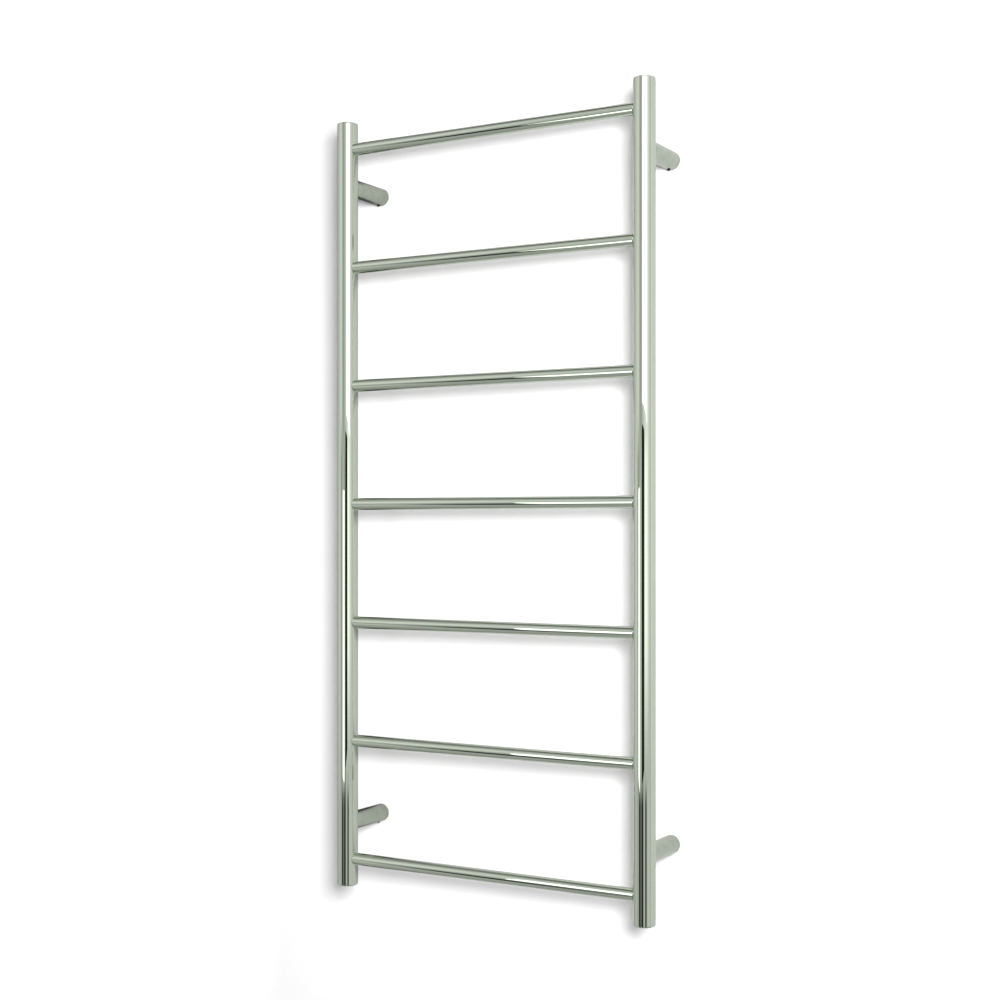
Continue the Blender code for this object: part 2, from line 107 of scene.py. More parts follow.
# ------------------------------------------------------------------ node graphs
class Graph:
    """The nodes of one material or of the world."""

    def __init__(self, tree: bpy.types.NodeTree) -> None:
        """Starts with an empty tree."""
        self.tree = tree
        tree.nodes.clear()

    def node(
        self,
        kind: str,
        settings: Mapping[str, object] | None = None,
        sockets: Mapping[str | int, object] | None = None,
    ) -> bpy.types.Node:
        """Adds a node, sets it up, then fills its sockets.

        Args:
            kind: The node's type name.
            settings: Its own settings; "stops" gives a ramp's stops as (place, colour).
            sockets: A value, a Signal or a node's output for each socket that changes.

        Returns:
            The new node.
        """
        made = self.tree.nodes.new(kind)
        for name, value in (settings or {}).items():
            if name == "stops":
                self._set_stops(made.color_ramp, value)
            else:
                setattr(made, name, value)
        for key, value in (sockets or {}).items():
            if isinstance(value, Signal):
                value = value.output
            if isinstance(value, bpy.types.NodeSocket):
                self.tree.links.new(value, made.inputs[key])
            else:
                made.inputs[key].default_value = value
        return made

    @staticmethod
    def _set_stops(ramp: bpy.types.ColorRamp, stops: Sequence[tuple[float, object]]) -> None:
        """Gives a ramp its stops.

        Args:
            ramp: The ramp to change.
            stops: Each stop's place from 0 to 1, with a grey or a colour.
        """
        while len(ramp.elements) < len(stops):
            ramp.elements.new(1.0)
        for element, (place, tone) in zip(ramp.elements, stops):
            element.position = place
            element.color = (*tone, 1) if isinstance(tone, tuple) else (tone, tone, tone, 1)

    def signal(self, kind: str, output: str | int = 0, **parts: object) -> "Signal":
        """A node's output, ready for arithmetic.

        Args:
            kind: The node's type name.
            output: Which of its outputs.
            parts: The settings and sockets, as node() takes them.

        Returns:
            The output as a Signal.
        """
        return Signal(self, self.node(kind, **parts).outputs[output])

    def parts(self, vector: object) -> "list[Signal]":
        """The X, Y and Z of a vector."""
        split = self.node("ShaderNodeSeparateXYZ", sockets={"Vector": vector})
        return [Signal(self, output) for output in split.outputs]

    def noise(self, vector: object, scale: float, detail: float = 3.0) -> "Signal":
        """Soft noise from 0 to 1 on a vector."""
        sockets = {"Vector": vector, "Scale": scale, "Detail": detail}
        return self.signal("ShaderNodeTexNoise", sockets=sockets)


class Signal:
    """A number that changes over a surface, with Python's operators as Math nodes."""

    def __init__(self, graph: Graph, output: bpy.types.NodeSocket) -> None:
        """Wraps one output socket of a graph."""
        self.graph = graph
        self.output = output

    def _math(self, operation: str, *numbers: object) -> "Signal":
        """A Math node on some numbers or signals.

        Args:
            operation: The Math node's operation.
            numbers: Its inputs in order.

        Returns:
            The result.
        """
        sockets = dict(enumerate(numbers))
        return self.graph.signal(
            "ShaderNodeMath", settings={"operation": operation}, sockets=sockets
        )

    def __add__(self, other: object) -> "Signal":
        """self + other."""
        return self._math("ADD", self, other)

    __radd__ = __add__

    def __sub__(self, other: object) -> "Signal":
        """self - other."""
        return self._math("SUBTRACT", self, other)

    def __rsub__(self, other: object) -> "Signal":
        """other - self."""
        return self._math("SUBTRACT", other, self)

    def __mul__(self, other: object) -> "Signal":
        """self * other."""
        return self._math("MULTIPLY", self, other)

    __rmul__ = __mul__

    def __truediv__(self, other: object) -> "Signal":
        """self / other."""
        return self._math("DIVIDE", self, other)

    def sine(self) -> "Signal":
        """The sine of the number, in radians."""
        return self._math("SINE", self)

    def arc_sine(self) -> "Signal":
        """The angle in radians whose sine this is."""
        return self._math("ARCSINE", self)

    def bearing(self, ahead: "Signal") -> "Signal":
        """The angle in radians of (self, ahead), where ahead alone is 0."""
        return self._math("ARCTAN2", self, ahead)

    def least(self, other: object) -> "Signal":
        """The smaller of the two."""
        return self._math("MINIMUM", self, other)

    def window(self, low: float, high: float) -> "Signal":
        """0 below low and 1 above high, or the other way round when low is above high.

        Args:
            low: Where the result is 0.
            high: Where the result is 1.

        Returns:
            The smooth step between them.
        """
        sockets = {"Value": self, "From Min": low, "From Max": high}
        return self.graph.signal(
            "ShaderNodeMapRange", settings={"interpolation_type": "SMOOTHSTEP"}, sockets=sockets
        )

    def blend(self, off: "Signal | float", on: "Signal | float") -> "Signal":
        """off where this mask is 0, on where it is 1."""
        return off + (on - off) * self

    def ramp(self, tones: Mapping[float, float], peak: float = 2.0) -> "Signal":
        """Reads a table of tones along this number.

        Args:
            tones: The result at each value of the number, in rising order.
            peak: A level that no tone passes, since a ramp holds 0 to 1.

        Returns:
            The tone, straight between the table's entries.
        """
        first, last = min(tones), max(tones)
        stops = [((at - first) / (last - first), tone / peak) for at, tone in tones.items()]
        share = (self - first) / (last - first)
        table = self.graph.signal(
            "ShaderNodeValToRGB", settings={"stops": stops}, sockets={"Fac": share}
        )
        return table * peak


# ------------------------------------------------------------------ finishes
@dataclass(frozen=True)
class Finish:
    """A plain finish: one colour with soft mottling, and a fine grain."""

    slot: str
    colour: Colour
    roughness: float
    metallic: float = 0.0
    mottle: float = 0.06
    mottle_scale: float = 300.0
    grain_scale: float = 4000.0
    grain_depth: float = 0.00001
    coat: float = 0.0

    def dress(self, piece: bpy.types.Object) -> None:
        """Makes this finish as a material and puts it on a piece.

        Args:
            piece: The mesh to dress.
        """
        material = bpy.data.materials.new(f"{self.slot}_{piece.name}")
        material.use_nodes = True
        graph = Graph(material.node_tree)
        place = graph.node("ShaderNodeTexCoord").outputs["Object"]
        shader = graph.node("ShaderNodeBsdfPrincipled")
        graph.node("ShaderNodeOutputMaterial", sockets={"Surface": shader.outputs["BSDF"]})
        shader.inputs["Metallic"].default_value = self.metallic
        shader.inputs["Coat Weight"].default_value = self.coat
        low, high = measure(piece)
        self.fill(Coat(graph, place, shader, (low + high) / 2))
        piece.data.materials.clear()
        piece.data.materials.append(material)

    def fill(self, coat: "Coat") -> None:
        """Adds what varies over the surface."""
        mottle = coat.graph.noise(coat.place, self.mottle_scale)
        coat.tint(*self.shades(), mottle)
        coat.feed("Roughness", self.roughness * (0.85 + 0.3 * mottle))
        coat.raise_([(self.grain(coat), self.grain_depth)])

    def shades(self) -> tuple[Colour, Colour]:
        """The darkest and the lightest colour of the mottling."""
        dark = tuple(part * (1 - self.mottle) for part in self.colour)
        light = tuple(min(1.0, part * (1 + self.mottle)) for part in self.colour)
        return dark, light

    def grain(self, coat: "Coat") -> Signal:
        """The fine grain, as a height."""
        return coat.graph.noise(coat.place, self.grain_scale, detail=2.0)


@dataclass(frozen=True)
class Coat:
    """A material while it is made: its nodes, its coordinates, its shader, its piece's middle."""

    graph: Graph
    place: bpy.types.NodeSocket
    shader: bpy.types.Node
    centre: Vector

    def feed(self, socket: str, value: Signal) -> None:
        """Links a signal to one socket of the shader."""
        self.graph.tree.links.new(value.output, self.shader.inputs[socket])

    def tint(self, dark: Colour, light: Colour, mask: Signal) -> None:
        """Varies the colour.

        Args:
            dark: The colour where the mask is 0.
            light: The colour where the mask is 1.
            mask: Where the colour changes.
        """
        mixed = self.graph.node(
            "ShaderNodeMix",
            settings={"data_type": "RGBA"},
            sockets={0: mask, 6: (*dark, 1), 7: (*light, 1)},
        )
        self.graph.tree.links.new(mixed.outputs[2], self.shader.inputs["Base Color"])

    def raise_(self, reliefs: Sequence[tuple[Signal, float]]) -> None:
        """Chains Bump nodes, one for each relief.

        Args:
            reliefs: Each height signal with its depth in metres.
        """
        normal: object = None
        for height, depth in reliefs:
            sockets = {"Height": height, "Distance": depth, "Strength": 1.0}
            if normal is not None:
                sockets["Normal"] = normal
            normal = self.graph.node("ShaderNodeBump", sockets=sockets).outputs["Normal"]
        self.graph.tree.links.new(normal, self.shader.inputs["Normal"])


@dataclass(frozen=True)
class PolishedTube(Finish):
    """Mirror-polished stainless steel with fine lines along the tube."""

    along: tuple[float, float, float] = (0, 0, 1)
    line_scale: float = 1400.0
    line_stretch: float = 0.02
    line_depth: float = 0.0000006
    ripple_scale: float = 26.0
    ripple_depth: float = 0.00004
    smudge_scale: float = 17.0
    smudge: float = 0.022

    def fill(self, coat: Coat) -> None:
        """Adds polishing lines, faint ripples and a few duller smudges."""
        graph = coat.graph
        across = [self.line_stretch if part else 1.0 for part in self.along]
        stretched = graph.node(
            "ShaderNodeMapping", sockets={"Vector": coat.place, "Scale": across}
        ).outputs["Vector"]
        lines = graph.noise(stretched, self.line_scale, detail=4.0)
        ripple = graph.noise(coat.place, self.ripple_scale, detail=1.0)
        cloud = graph.noise(coat.place, self.smudge_scale, detail=5.0)
        smudges = cloud.window(0.56, 0.72)
        coat.tint(*self.shades(), cloud)
        coat.feed("Roughness", self.roughness * (0.7 + 0.6 * lines) + smudges * self.smudge)
        coat.raise_([(ripple, self.ripple_depth), (lines, self.line_depth)])


@dataclass(frozen=True)
class TurnedMetal(Finish):
    """Metal with rings left by the lathe, round an axis that points out of the wall or up."""

    axis: tuple[float, float, float] = (0, 1, 0)
    ring_pitch: float = 0.00035
    ring_depth: float = 0.000008
    wander_scale: float = 240.0
    wander: float = 5.0

    def fill(self, coat: Coat) -> None:
        """Adds tool rings round the axis and along it, and faint stains."""
        graph = coat.graph
        seat = graph.node(
            "ShaderNodeMapping",
            settings={"vector_type": "POINT"},
            sockets={"Vector": coat.place, "Location": tuple(-part for part in coat.centre)},
        ).outputs["Vector"]
        flat = tuple(0.0 if part else 1.0 for part in self.axis)
        spread = graph.node(
            "ShaderNodeVectorMath", settings={"operation": "MULTIPLY"}, sockets={0: seat, 1: flat}
        ).outputs["Vector"]
        radius = graph.signal(
            "ShaderNodeVectorMath", "Value", settings={"operation": "LENGTH"}, sockets={0: spread}
        )
        height = graph.signal(
            "ShaderNodeVectorMath",
            "Value",
            settings={"operation": "DOT_PRODUCT"},
            sockets={0: seat, 1: self.axis},
        )
        wander = graph.noise(coat.place, self.wander_scale, detail=2.0)
        rings = ((radius + height) * (FULL_TURN / self.ring_pitch) + wander * self.wander).sine()
        coat.tint(*self.shades(), wander)
        coat.feed("Roughness", self.roughness * (0.9 + 0.15 * rings))
        coat.raise_([(rings, self.ring_depth), (self.grain(coat), self.grain_depth)])


@dataclass(frozen=True)
class StripedJacket(Finish):
    """Wire insulation in two colours that run along the wire."""

    second: Colour = (0.85, 0.72, 0.05)
    border: float = 0.05 * MM

    def fill(self, coat: Coat) -> None:
        """Adds the second colour on one face of the wire, and a soft variation of its gloss."""
        depth = coat.graph.parts(coat.place)[1]
        stripe = (depth - coat.centre.y).window(-self.border, self.border)
        coat.tint(self.colour, self.second, stripe)
        mottle = coat.graph.noise(coat.place, self.mottle_scale)
        coat.feed("Roughness", self.roughness * (0.85 + 0.3 * mottle))
        coat.raise_([(self.grain(coat), self.grain_depth)])


STEEL: Colour = (0.600, 0.660, 0.555)


def polished(along: Vector) -> PolishedTube:
    """The rack's mirror polish, with its lines along a tube's axis."""
    return PolishedTube(
        "polished_steel", STEEL, 0.022, metallic=1.0, mottle=0.025, along=tuple(along)
    )


UPRIGHT_POLISH = polished(UP)
BAR_POLISH = polished(ALONG_WALL)
# Painted shade and reflections: the posts get the tubes' steel painted darker, and a strong mottle
# in its colour stands in for stray reflections.
POST_PAINTED_SHADE_AND_REFLECTIONS = PolishedTube(
    "polished_steel", (0.50, 0.552, 0.462), 0.10, metallic=1.0, mottle=0.24,
    along=tuple(OUT_OF_WALL), smudge_scale=110.0, smudge=0.12,
)
CAP_POLISH = PolishedTube(
    "polished_steel", STEEL, 0.05, metallic=1.0, mottle=0.025, along=(1, 0, 0), line_stretch=0.05
)
BLACK_OXIDE = Finish("black_steel", (0.020, 0.021, 0.022), 0.42, metallic=0.6, mottle=0.25)
TURNED_STEEL = TurnedMetal("turned_steel", (0.56, 0.575, 0.56), 0.30, metallic=1.0)
ZINC = TurnedMetal(
    "zinc_plate", (0.60, 0.615, 0.585), 0.30, metallic=1.0, mottle=0.12, ring_depth=0.000002
)
BRASS = TurnedMetal(
    "brass", (0.72, 0.52, 0.22), 0.28, metallic=1.0, mottle=0.08, axis=(0, 0, 1)
)
SILICONE = Finish("cable_jacket", (0.55, 0.15, 0.09), 0.55, grain_depth=0.00002)
RUBBER = Finish("lead_jacket", (0.035, 0.035, 0.037), 0.52, mottle=0.2, grain_depth=0.00002)
SHRINK = Finish("shrink_sleeve", (0.022, 0.022, 0.024), 0.38, mottle=0.2, coat=0.1)
CREAM_PLASTIC = Finish("cutout_body", (0.80, 0.78, 0.70), 0.42, grain_depth=0.000015)
NYLON = Finish("bush_plastic", (0.82, 0.82, 0.78), 0.40, grain_depth=0.000012)
EARTH_JACKET = StripedJacket("earth_jacket", (0.08, 0.34, 0.05), 0.42)


# ------------------------------------------------------------------ shaping
def measure(piece: bpy.types.Object) -> tuple[Vector, Vector]:
    """The lowest and highest corner of a mesh that has its place in its vertices."""
    spread = [[vert.co[axis] for vert in piece.data.vertices] for axis in range(3)]
    return Vector(map(min, spread)), Vector(map(max, spread))


@dataclass(frozen=True)
class Turn:
    """One corner of a turned outline: its radius, its height, and how far it is rounded."""

    radius: float
    height: float
    rounding: float = 0.0
    steps: int = 4


@dataclass(frozen=True)
class Thread:
    """An outside thread."""

    crest_radius: float
    root_radius: float
    pitch: float
    crest_share: float = 0.12
    root_share: float = 0.12


class Blank:
    """A solid on its way through the workshop, with its axis up from the origin."""

    def __init__(self) -> None:
        """Starts with nothing."""
        self.bm = bmesh.new()

    @classmethod
    def turned(cls, outline: Sequence[Turn], sides: int, bored: bool = False) -> "Blank":
        """Turns an outline on a lathe.

        Args:
            outline: Its corners; a solid outline starts and ends on the axis.
            sides: How many sides the round gets.
            bored: Whether the outline is a closed ring, as on a tube.

        Returns:
            The turned blank.
        """
        blank = cls()
        bm = blank.bm
        verts = [bm.verts.new((corner.radius, 0, corner.height)) for corner in outline]
        pairs = list(zip(verts, verts[1:]))
        if bored:
            pairs.append((verts[-1], verts[0]))
        edges = [bm.edges.new(pair) for pair in pairs]
        bmesh.ops.spin(
            bm,
            geom=verts + edges,
            cent=(0, 0, 0),
            axis=UP,
            angle=FULL_TURN,
            steps=sides,
            use_merge=True,
        )
        blank.tidy()
        for corner in outline:
            if corner.rounding:
                blank.round_ring(corner)
        return blank

    @classmethod
    def threaded(cls, thread: Thread, low: float, high: float, sides: int) -> "Blank":
        """Cuts a thread between two heights, with flat ends.

        Args:
            thread: The thread's form.
            low: Height of the lower end.
            high: Height of the upper end.
            sides: How many steps make one turn.

        Returns:
            The threaded blank.
        """
        blank = cls()
        bm = blank.bm
        crest, root = thread.crest_share, thread.root_share
        flank = (1 - crest - root) / 2
        form = [
            (thread.root_radius, 0.0),
            (thread.root_radius, root),
            (thread.crest_radius, root + flank),
            (thread.crest_radius, root + flank + crest),
        ]
        turns = math.ceil((high - low) / thread.pitch) + 3
        start = low - 2 * thread.pitch
        verts = [
            bm.verts.new((radius, 0, start + (turn + share) * thread.pitch))
            for turn in range(turns)
            for radius, share in form
        ]
        edges = [bm.edges.new(pair) for pair in zip(verts, verts[1:])]
        bmesh.ops.spin(
            bm,
            geom=verts + edges,
            cent=(0, 0, 0),
            axis=UP,
            dvec=(0, 0, thread.pitch / sides),
            angle=FULL_TURN,
            steps=sides,
        )
        blank.tidy()
        blank.trim(low, high)
        return blank

    def tidy(self) -> None:
        """Merges doubles and turns the faces outwards."""
        bmesh.ops.remove_doubles(self.bm, verts=self.bm.verts, dist=MERGE)
        bmesh.ops.dissolve_degenerate(self.bm, edges=self.bm.edges, dist=MERGE / 10)
        bmesh.ops.recalc_face_normals(self.bm, faces=self.bm.faces)

    def trim(self, low: float, high: float) -> None:
        """Saws both ends off flat and closes them.

        Args:
            low: Height of the lower cut.
            high: Height of the upper cut.
        """
        for height, normal in ((low, DOWN), (high, UP)):
            geometry = [*self.bm.verts, *self.bm.edges, *self.bm.faces]
            bmesh.ops.bisect_plane(
                self.bm, geom=geometry, plane_co=(0, 0, height), plane_no=normal, clear_outer=True
            )
        loose = [edge for edge in self.bm.edges if edge.is_boundary]
        bmesh.ops.holes_fill(self.bm, edges=loose, sides=0)
        self.tidy()

    def round_ring(self, corner: Turn) -> None:
        """Rounds the ring of edges that a corner of the outline made."""
        def on_ring(vert: bmesh.types.BMVert) -> bool:
            """Whether a vertex lies on the corner's ring."""
            off = abs(math.hypot(vert.co.x, vert.co.y) - corner.radius)
            return off < MERGE * 5 and abs(vert.co.z - corner.height) < MERGE * 5

        self.round_edges(on_ring, corner.rounding, corner.steps)

    def round_edges(
        self,
        chosen: Callable[[bmesh.types.BMVert], bool],
        size: float,
        steps: int,
        sharp: float = 0.0,
    ) -> None:
        """Rounds every edge whose two ends are chosen.

        Args:
            chosen: Says whether a vertex counts.
            size: How far the rounding reaches.
            steps: How many strips make it.
            sharp: The least angle in radians between the two faces of such an edge.
        """
        ring = [
            edge
            for edge in self.bm.edges
            if all(chosen(vert) for vert in edge.verts) and edge.calc_face_angle(0) >= sharp
        ]
        bmesh.ops.bevel(
            self.bm,
            geom=ring,
            offset=size,
            offset_type="OFFSET",
            affect="EDGES",
            segments=steps,
            profile=0.5,
            material=-1,
            clamp_overlap=True,
        )

    def move(self, shift: Callable[[Vector], Vector]) -> None:
        """Moves every vertex to where a rule says."""
        for vert in self.bm.verts:
            vert.co = shift(vert.co)

    def place(self, seat: Vector, towards: Vector = UP, twist: float = 0.0) -> "Blank":
        """Puts the blank where it goes.

        Args:
            seat: Where its own origin goes.
            towards: Where its own axis points.
            twist: A first turn about its own axis.

        Returns:
            The same blank.
        """
        turn = UP.rotation_difference(towards).to_matrix().to_4x4()
        matrix = Matrix.Translation(seat) @ turn @ Matrix.Rotation(twist, 4, "Z")
        bmesh.ops.transform(self.bm, matrix=matrix, verts=self.bm.verts)
        return self

    def join(self, other: "Blank") -> "Blank":
        """Adds another blank's shape to this one, as it is."""
        spare = bpy.data.meshes.new("spare")
        other.bm.to_mesh(spare)
        self.bm.from_mesh(spare)
        other.bm.free()
        bpy.data.meshes.remove(spare)
        return self

    def piece(self, name: str) -> bpy.types.Object:
        """Makes the blank an object with smooth rounds and crisp corners.

        Args:
            name: The object's name.

        Returns:
            The object, in the scene.
        """
        bmesh.ops.recalc_face_normals(self.bm, faces=self.bm.faces)
        mesh = bpy.data.meshes.new(name)
        self.bm.to_mesh(mesh)
        self.bm.free()
        made = bpy.data.objects.new(name, mesh)
        bpy.context.scene.collection.objects.link(made)
        crisp(made)
        return made


def crisp(piece: bpy.types.Object) -> None:
    """Shades a mesh smooth, apart from its sharp edges."""
    piece.data.shade_smooth()
    piece.data.set_sharp_from_angle(angle=SMOOTH_LIMIT)


def rod(radius: float, length: float, sides: int) -> Blank:
    """A plain round bar, as a drill or a tool leaves it."""
    outline = [Turn(0, length), Turn(radius, length), Turn(radius, 0), Turn(0, 0)]
    return Blank.turned(outline, sides)


def combined(
    piece: bpy.types.Object, other: bpy.types.Object, operation: str
) -> bpy.types.Object:
    """Cuts one solid out of another, or unites the two.

    Args:
        piece: The solid that stays.
        other: The solid that goes into it, or out of it.
        operation: The Boolean modifier's operation.

    Returns:
        The first solid, changed.
    """
    change = piece.modifiers.new("change", "BOOLEAN")
    change.operation = operation
    change.solver = "EXACT"
    change.object = other
    graph = bpy.context.evaluated_depsgraph_get()
    whole = piece.data
    piece.data = bpy.data.meshes.new_from_object(piece.evaluated_get(graph))
    piece.modifiers.clear()
    bpy.data.meshes.remove(whole)
    bpy.data.objects.remove(other)
    crisp(piece)
    return piece


def drilled(piece: bpy.types.Object, drills: Iterable[Blank]) -> bpy.types.Object:
    """Cuts the shape of some drills out of a piece.

    Args:
        piece: The solid to cut.
        drills: Blanks that are already in place and don't touch each other.

    Returns:
        The same piece, cut.
    """
    bits = Blank()
    for drill in drills:
        bits.join(drill)
    return combined(piece, bits.piece(f"{piece.name}_drills"), "DIFFERENCE")


class Bench:
    """Puts finished pieces on the CAD bodies in place of their nodes."""

    def __init__(self, record: Mapping[str, object]) -> None:
        """Reads which body each node rides on.

        Args:
            record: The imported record.
        """
        groups = record["behaviour"]["bodies"]
        self.body_of = {node: body for body, nodes in groups.items() for node in nodes}
        self.count = 0

    def fit(self, piece: bpy.types.Object, node: str, finish: Finish) -> bpy.types.Object:
        """Dresses a piece and lets it stand for a CAD node.

        Args:
            piece: The finished mesh.
            node: The CAD node that it stands for.
            finish: What it is made of.

        Returns:
            The same piece.
        """
        finish.dress(piece)
        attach(piece, self.body_of[node])
        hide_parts(node)
        self.count += 1
        log.info("%s: %d faces on %s", piece.name, len(piece.data.polygons), self.body_of[node])
        return piece


@dataclass(frozen=True)
class Round:
    """Where a round CAD node is: its middle, and how far it reaches along each axis."""

    low: Vector
    high: Vector

    @classmethod
    def of(cls, node: str) -> "Round":
        """Reads a node's box from the frame."""
        return cls(*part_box(node))

    @property
    def centre(self) -> Vector:
        """The middle of the box."""
        return (self.low + self.high) / 2

    @property
    def size(self) -> Vector:
        """The box's three sides."""
        return self.high - self.low

    @property
    def foot(self) -> Vector:
        """The middle of the lower side."""
        return Vector((self.centre.x, self.centre.y, self.low.z))

    @property
    def back(self) -> Vector:
        """The middle of the side that is nearest to the wall."""
        return Vector((self.centre.x, self.high.y, self.centre.z))


@dataclass
class Corner:
    """One corner of the rack: what a post, spigot or screw there has in common."""

    end: End
    side: Side

    def node(self, kind: str) -> str:
        """The name of this corner's CAD node of a kind."""
        return f"{kind}_{self.end.word}_{self.side.word}"

    def box(self, kind: str) -> Round:
        """Where this corner's CAD node of a kind is."""
        return Round.of(self.node(kind))


CORNERS = [Corner(end, side) for end in End for side in Side]


# ------------------------------------------------------------------ ladder
@dataclass
class Upright:
    """One upright tube with its two caps, softly blended where they are polished over."""

    side: Side
    wall: float = 1.5 * MM
    sides: int = 112
    seam: float = 0.04 * MM
    blend: float = 9.0 * MM
    blend_drop: float = 0.09 * MM
    blend_steps: int = 6
    cap_rounding: float = 1.6 * MM
    cap_crown: float = 0.25 * MM
    bar_hole: float = 5.0 * MM
    lead_hole: float = 6.0 * MM
    strip: float = 6.0 * MM
    lead_strip: float = 7.0 * MM
    cad_seam: float = 0.3 * MM
    radius: float = field(init=False)
    foot: Vector = field(init=False)

    def __post_init__(self) -> None:
        """Reads the tube's outer radius, and the middle of its lower end, cap included."""
        tube = Round.of(f"{self.side.word}_upright")
        lower_end = Corner(End.BOTTOM, self.side).box("cap").low.z
        self.radius = tube.size.x / 2
        self.foot = Vector((tube.centre.x, tube.centre.y, lower_end))

    def worn(self, from_end: float) -> float:
        """The outer radius at some distance from an end, where polishing took a little off."""
        share = min(1.0, max(0.0, from_end / self.blend))
        return self.radius - self.blend_drop * (1 - share) ** 2

    def build(self, bench: Bench, heights: Sequence[float], lead_height: float | None) -> None:
        """Makes the tube, drills it and caps it.

        Args:
            bench: Where the pieces go.
            heights: The heights of the bars that meet it.
            lead_height: The height of the lead's way in, on the wired upright.
        """
        node = f"{self.side.word}_upright"
        bottom = self.foot.z
        top = Corner(End.TOP, self.side).box("cap").high.z
        rim = top - Round.of(node).high.z - self.cad_seam
        low, high = bottom + rim + self.seam, top - rim - self.seam
        near = [self.blend * step / self.blend_steps for step in range(1, self.blend_steps + 1)]
        levels = [low, high, *(bottom + rise for rise in near), *(top - rise for rise in near)]
        levels += [height + shift for height in heights for shift in (-self.strip, self.strip)]
        if lead_height is not None:
            levels += [lead_height - self.lead_strip, lead_height + self.lead_strip]
        levels = sorted(level for level in levels if low <= level <= high)
        outline = [
            Turn(self.worn(min(level - bottom, top - level)), level - bottom) for level in levels
        ]
        bore = self.radius - self.wall
        outline += [Turn(bore, high - bottom), Turn(bore, low - bottom)]
        tube = Blank.turned(outline, self.sides, bored=True).place(self.foot)
        piece = tube.piece(f"{node}_tube")
        inwards = -self.side.value * ALONG_WALL
        drills = [self._drill(height, self.bar_hole, inwards) for height in heights]
        if lead_height is not None:
            drills.append(self._drill(lead_height, self.lead_hole, -OUT_OF_WALL))
        bench.fit(drilled(piece, drills), node, UPRIGHT_POLISH)
        for end in End:
            self._cap(bench, Corner(end, self.side), rim)

    def _drill(self, height: float, radius: float, towards: Vector) -> Blank:
        """A drill from the tube's axis through one wall."""
        seat = Vector((self.foot.x, self.foot.y, height))
        return rod(radius, self.radius + 2 * MM, 48).place(seat, towards, OFF_FACET)

    def _cap(self, bench: Bench, corner: Corner, rim: float) -> None:
        """Makes one cap: a slightly crowned disc on a plug.

        Args:
            bench: Where the piece goes.
            corner: The corner of the rack that it closes.
            rim: The thickness of its rim.
        """
        node = corner.node("cap")
        box = Round.of(node)
        depth = box.size.z
        plug = self.radius - self.wall - 0.1 * MM
        edge = self.worn(0)
        outline = [
            Turn(0, depth),
            Turn(edge * 0.35, depth - self.cap_crown * 0.12),
            Turn(edge * 0.7, depth - self.cap_crown * 0.5),
            Turn(edge, depth - self.cap_crown, self.cap_rounding, 8),
            Turn(edge, depth - rim),
            Turn(plug, depth - rim),
            Turn(plug, 0, 0.6 * MM, 3),
            Turn(0, 0),
        ]
        inner = box.low.z if corner.end is End.TOP else box.high.z
        seat = Vector((self.foot.x, self.foot.y, inner))
        blank = Blank.turned(outline, self.sides).place(seat, UP * corner.end.value)
        bench.fit(blank.piece(f"{node}_disc"), node, CAP_POLISH)


@dataclass
class Bar:
    """One round bar, with its ends coped to the uprights."""

    number: int
    wall: float = 1.2 * MM
    sides: int = 96
    gap: float = 0.25 * MM
    edge: float = 0.5 * MM
    edge_steps: int = 3
    rim: float = 1.2 * MM
    plain: float = 19.0 * MM

    def build(self, bench: Bench, left: Upright, right: Upright) -> None:
        """Makes the bar between two uprights.

        Args:
            bench: Where the piece goes.
            left: The upright at its -X end.
            right: The upright at its +X end.
        """
        node = f"bar_{self.number}"
        box = Round.of(node)
        radius = box.size.z / 2
        length = right.foot.x - left.foot.x
        outline = [
            Turn(radius, 0),
            Turn(radius, self.rim),
            Turn(radius, self.plain),
            Turn(radius, length - self.plain),
            Turn(radius, length - self.rim),
            Turn(radius, length),
            Turn(radius - self.wall, length),
            Turn(radius - self.wall, 0),
        ]
        blank = Blank.turned(outline, self.sides, bored=True)
        axis = Vector((left.foot.x, left.foot.y, box.centre.z))
        blank.place(axis, ALONG_WALL)
        reach = left.radius + self.gap
        coped = self.rim * 1.5

        def cope(spot: Vector) -> Vector:
            """Pulls a vertex near an end back by the shape of its upright."""
            back = math.sqrt(reach**2 - (spot.y - axis.y) ** 2)
            if spot.x < left.foot.x + coped:
                return Vector((spot.x + back, spot.y, spot.z))
            if spot.x > right.foot.x - coped:
                return Vector((spot.x - back, spot.y, spot.z))
            return spot

        def outer(vert: bmesh.types.BMVert) -> bool:
            """Whether a vertex lies on the outside of the bar."""
            return math.hypot(vert.co.y - axis.y, vert.co.z - axis.z) > radius - self.wall / 2

        blank.move(cope)
        blank.round_edges(outer, self.edge, self.edge_steps, sharp=SMOOTH_LIMIT)
        bench.fit(blank.piece(f"{node}_tube"), node, BAR_POLISH)


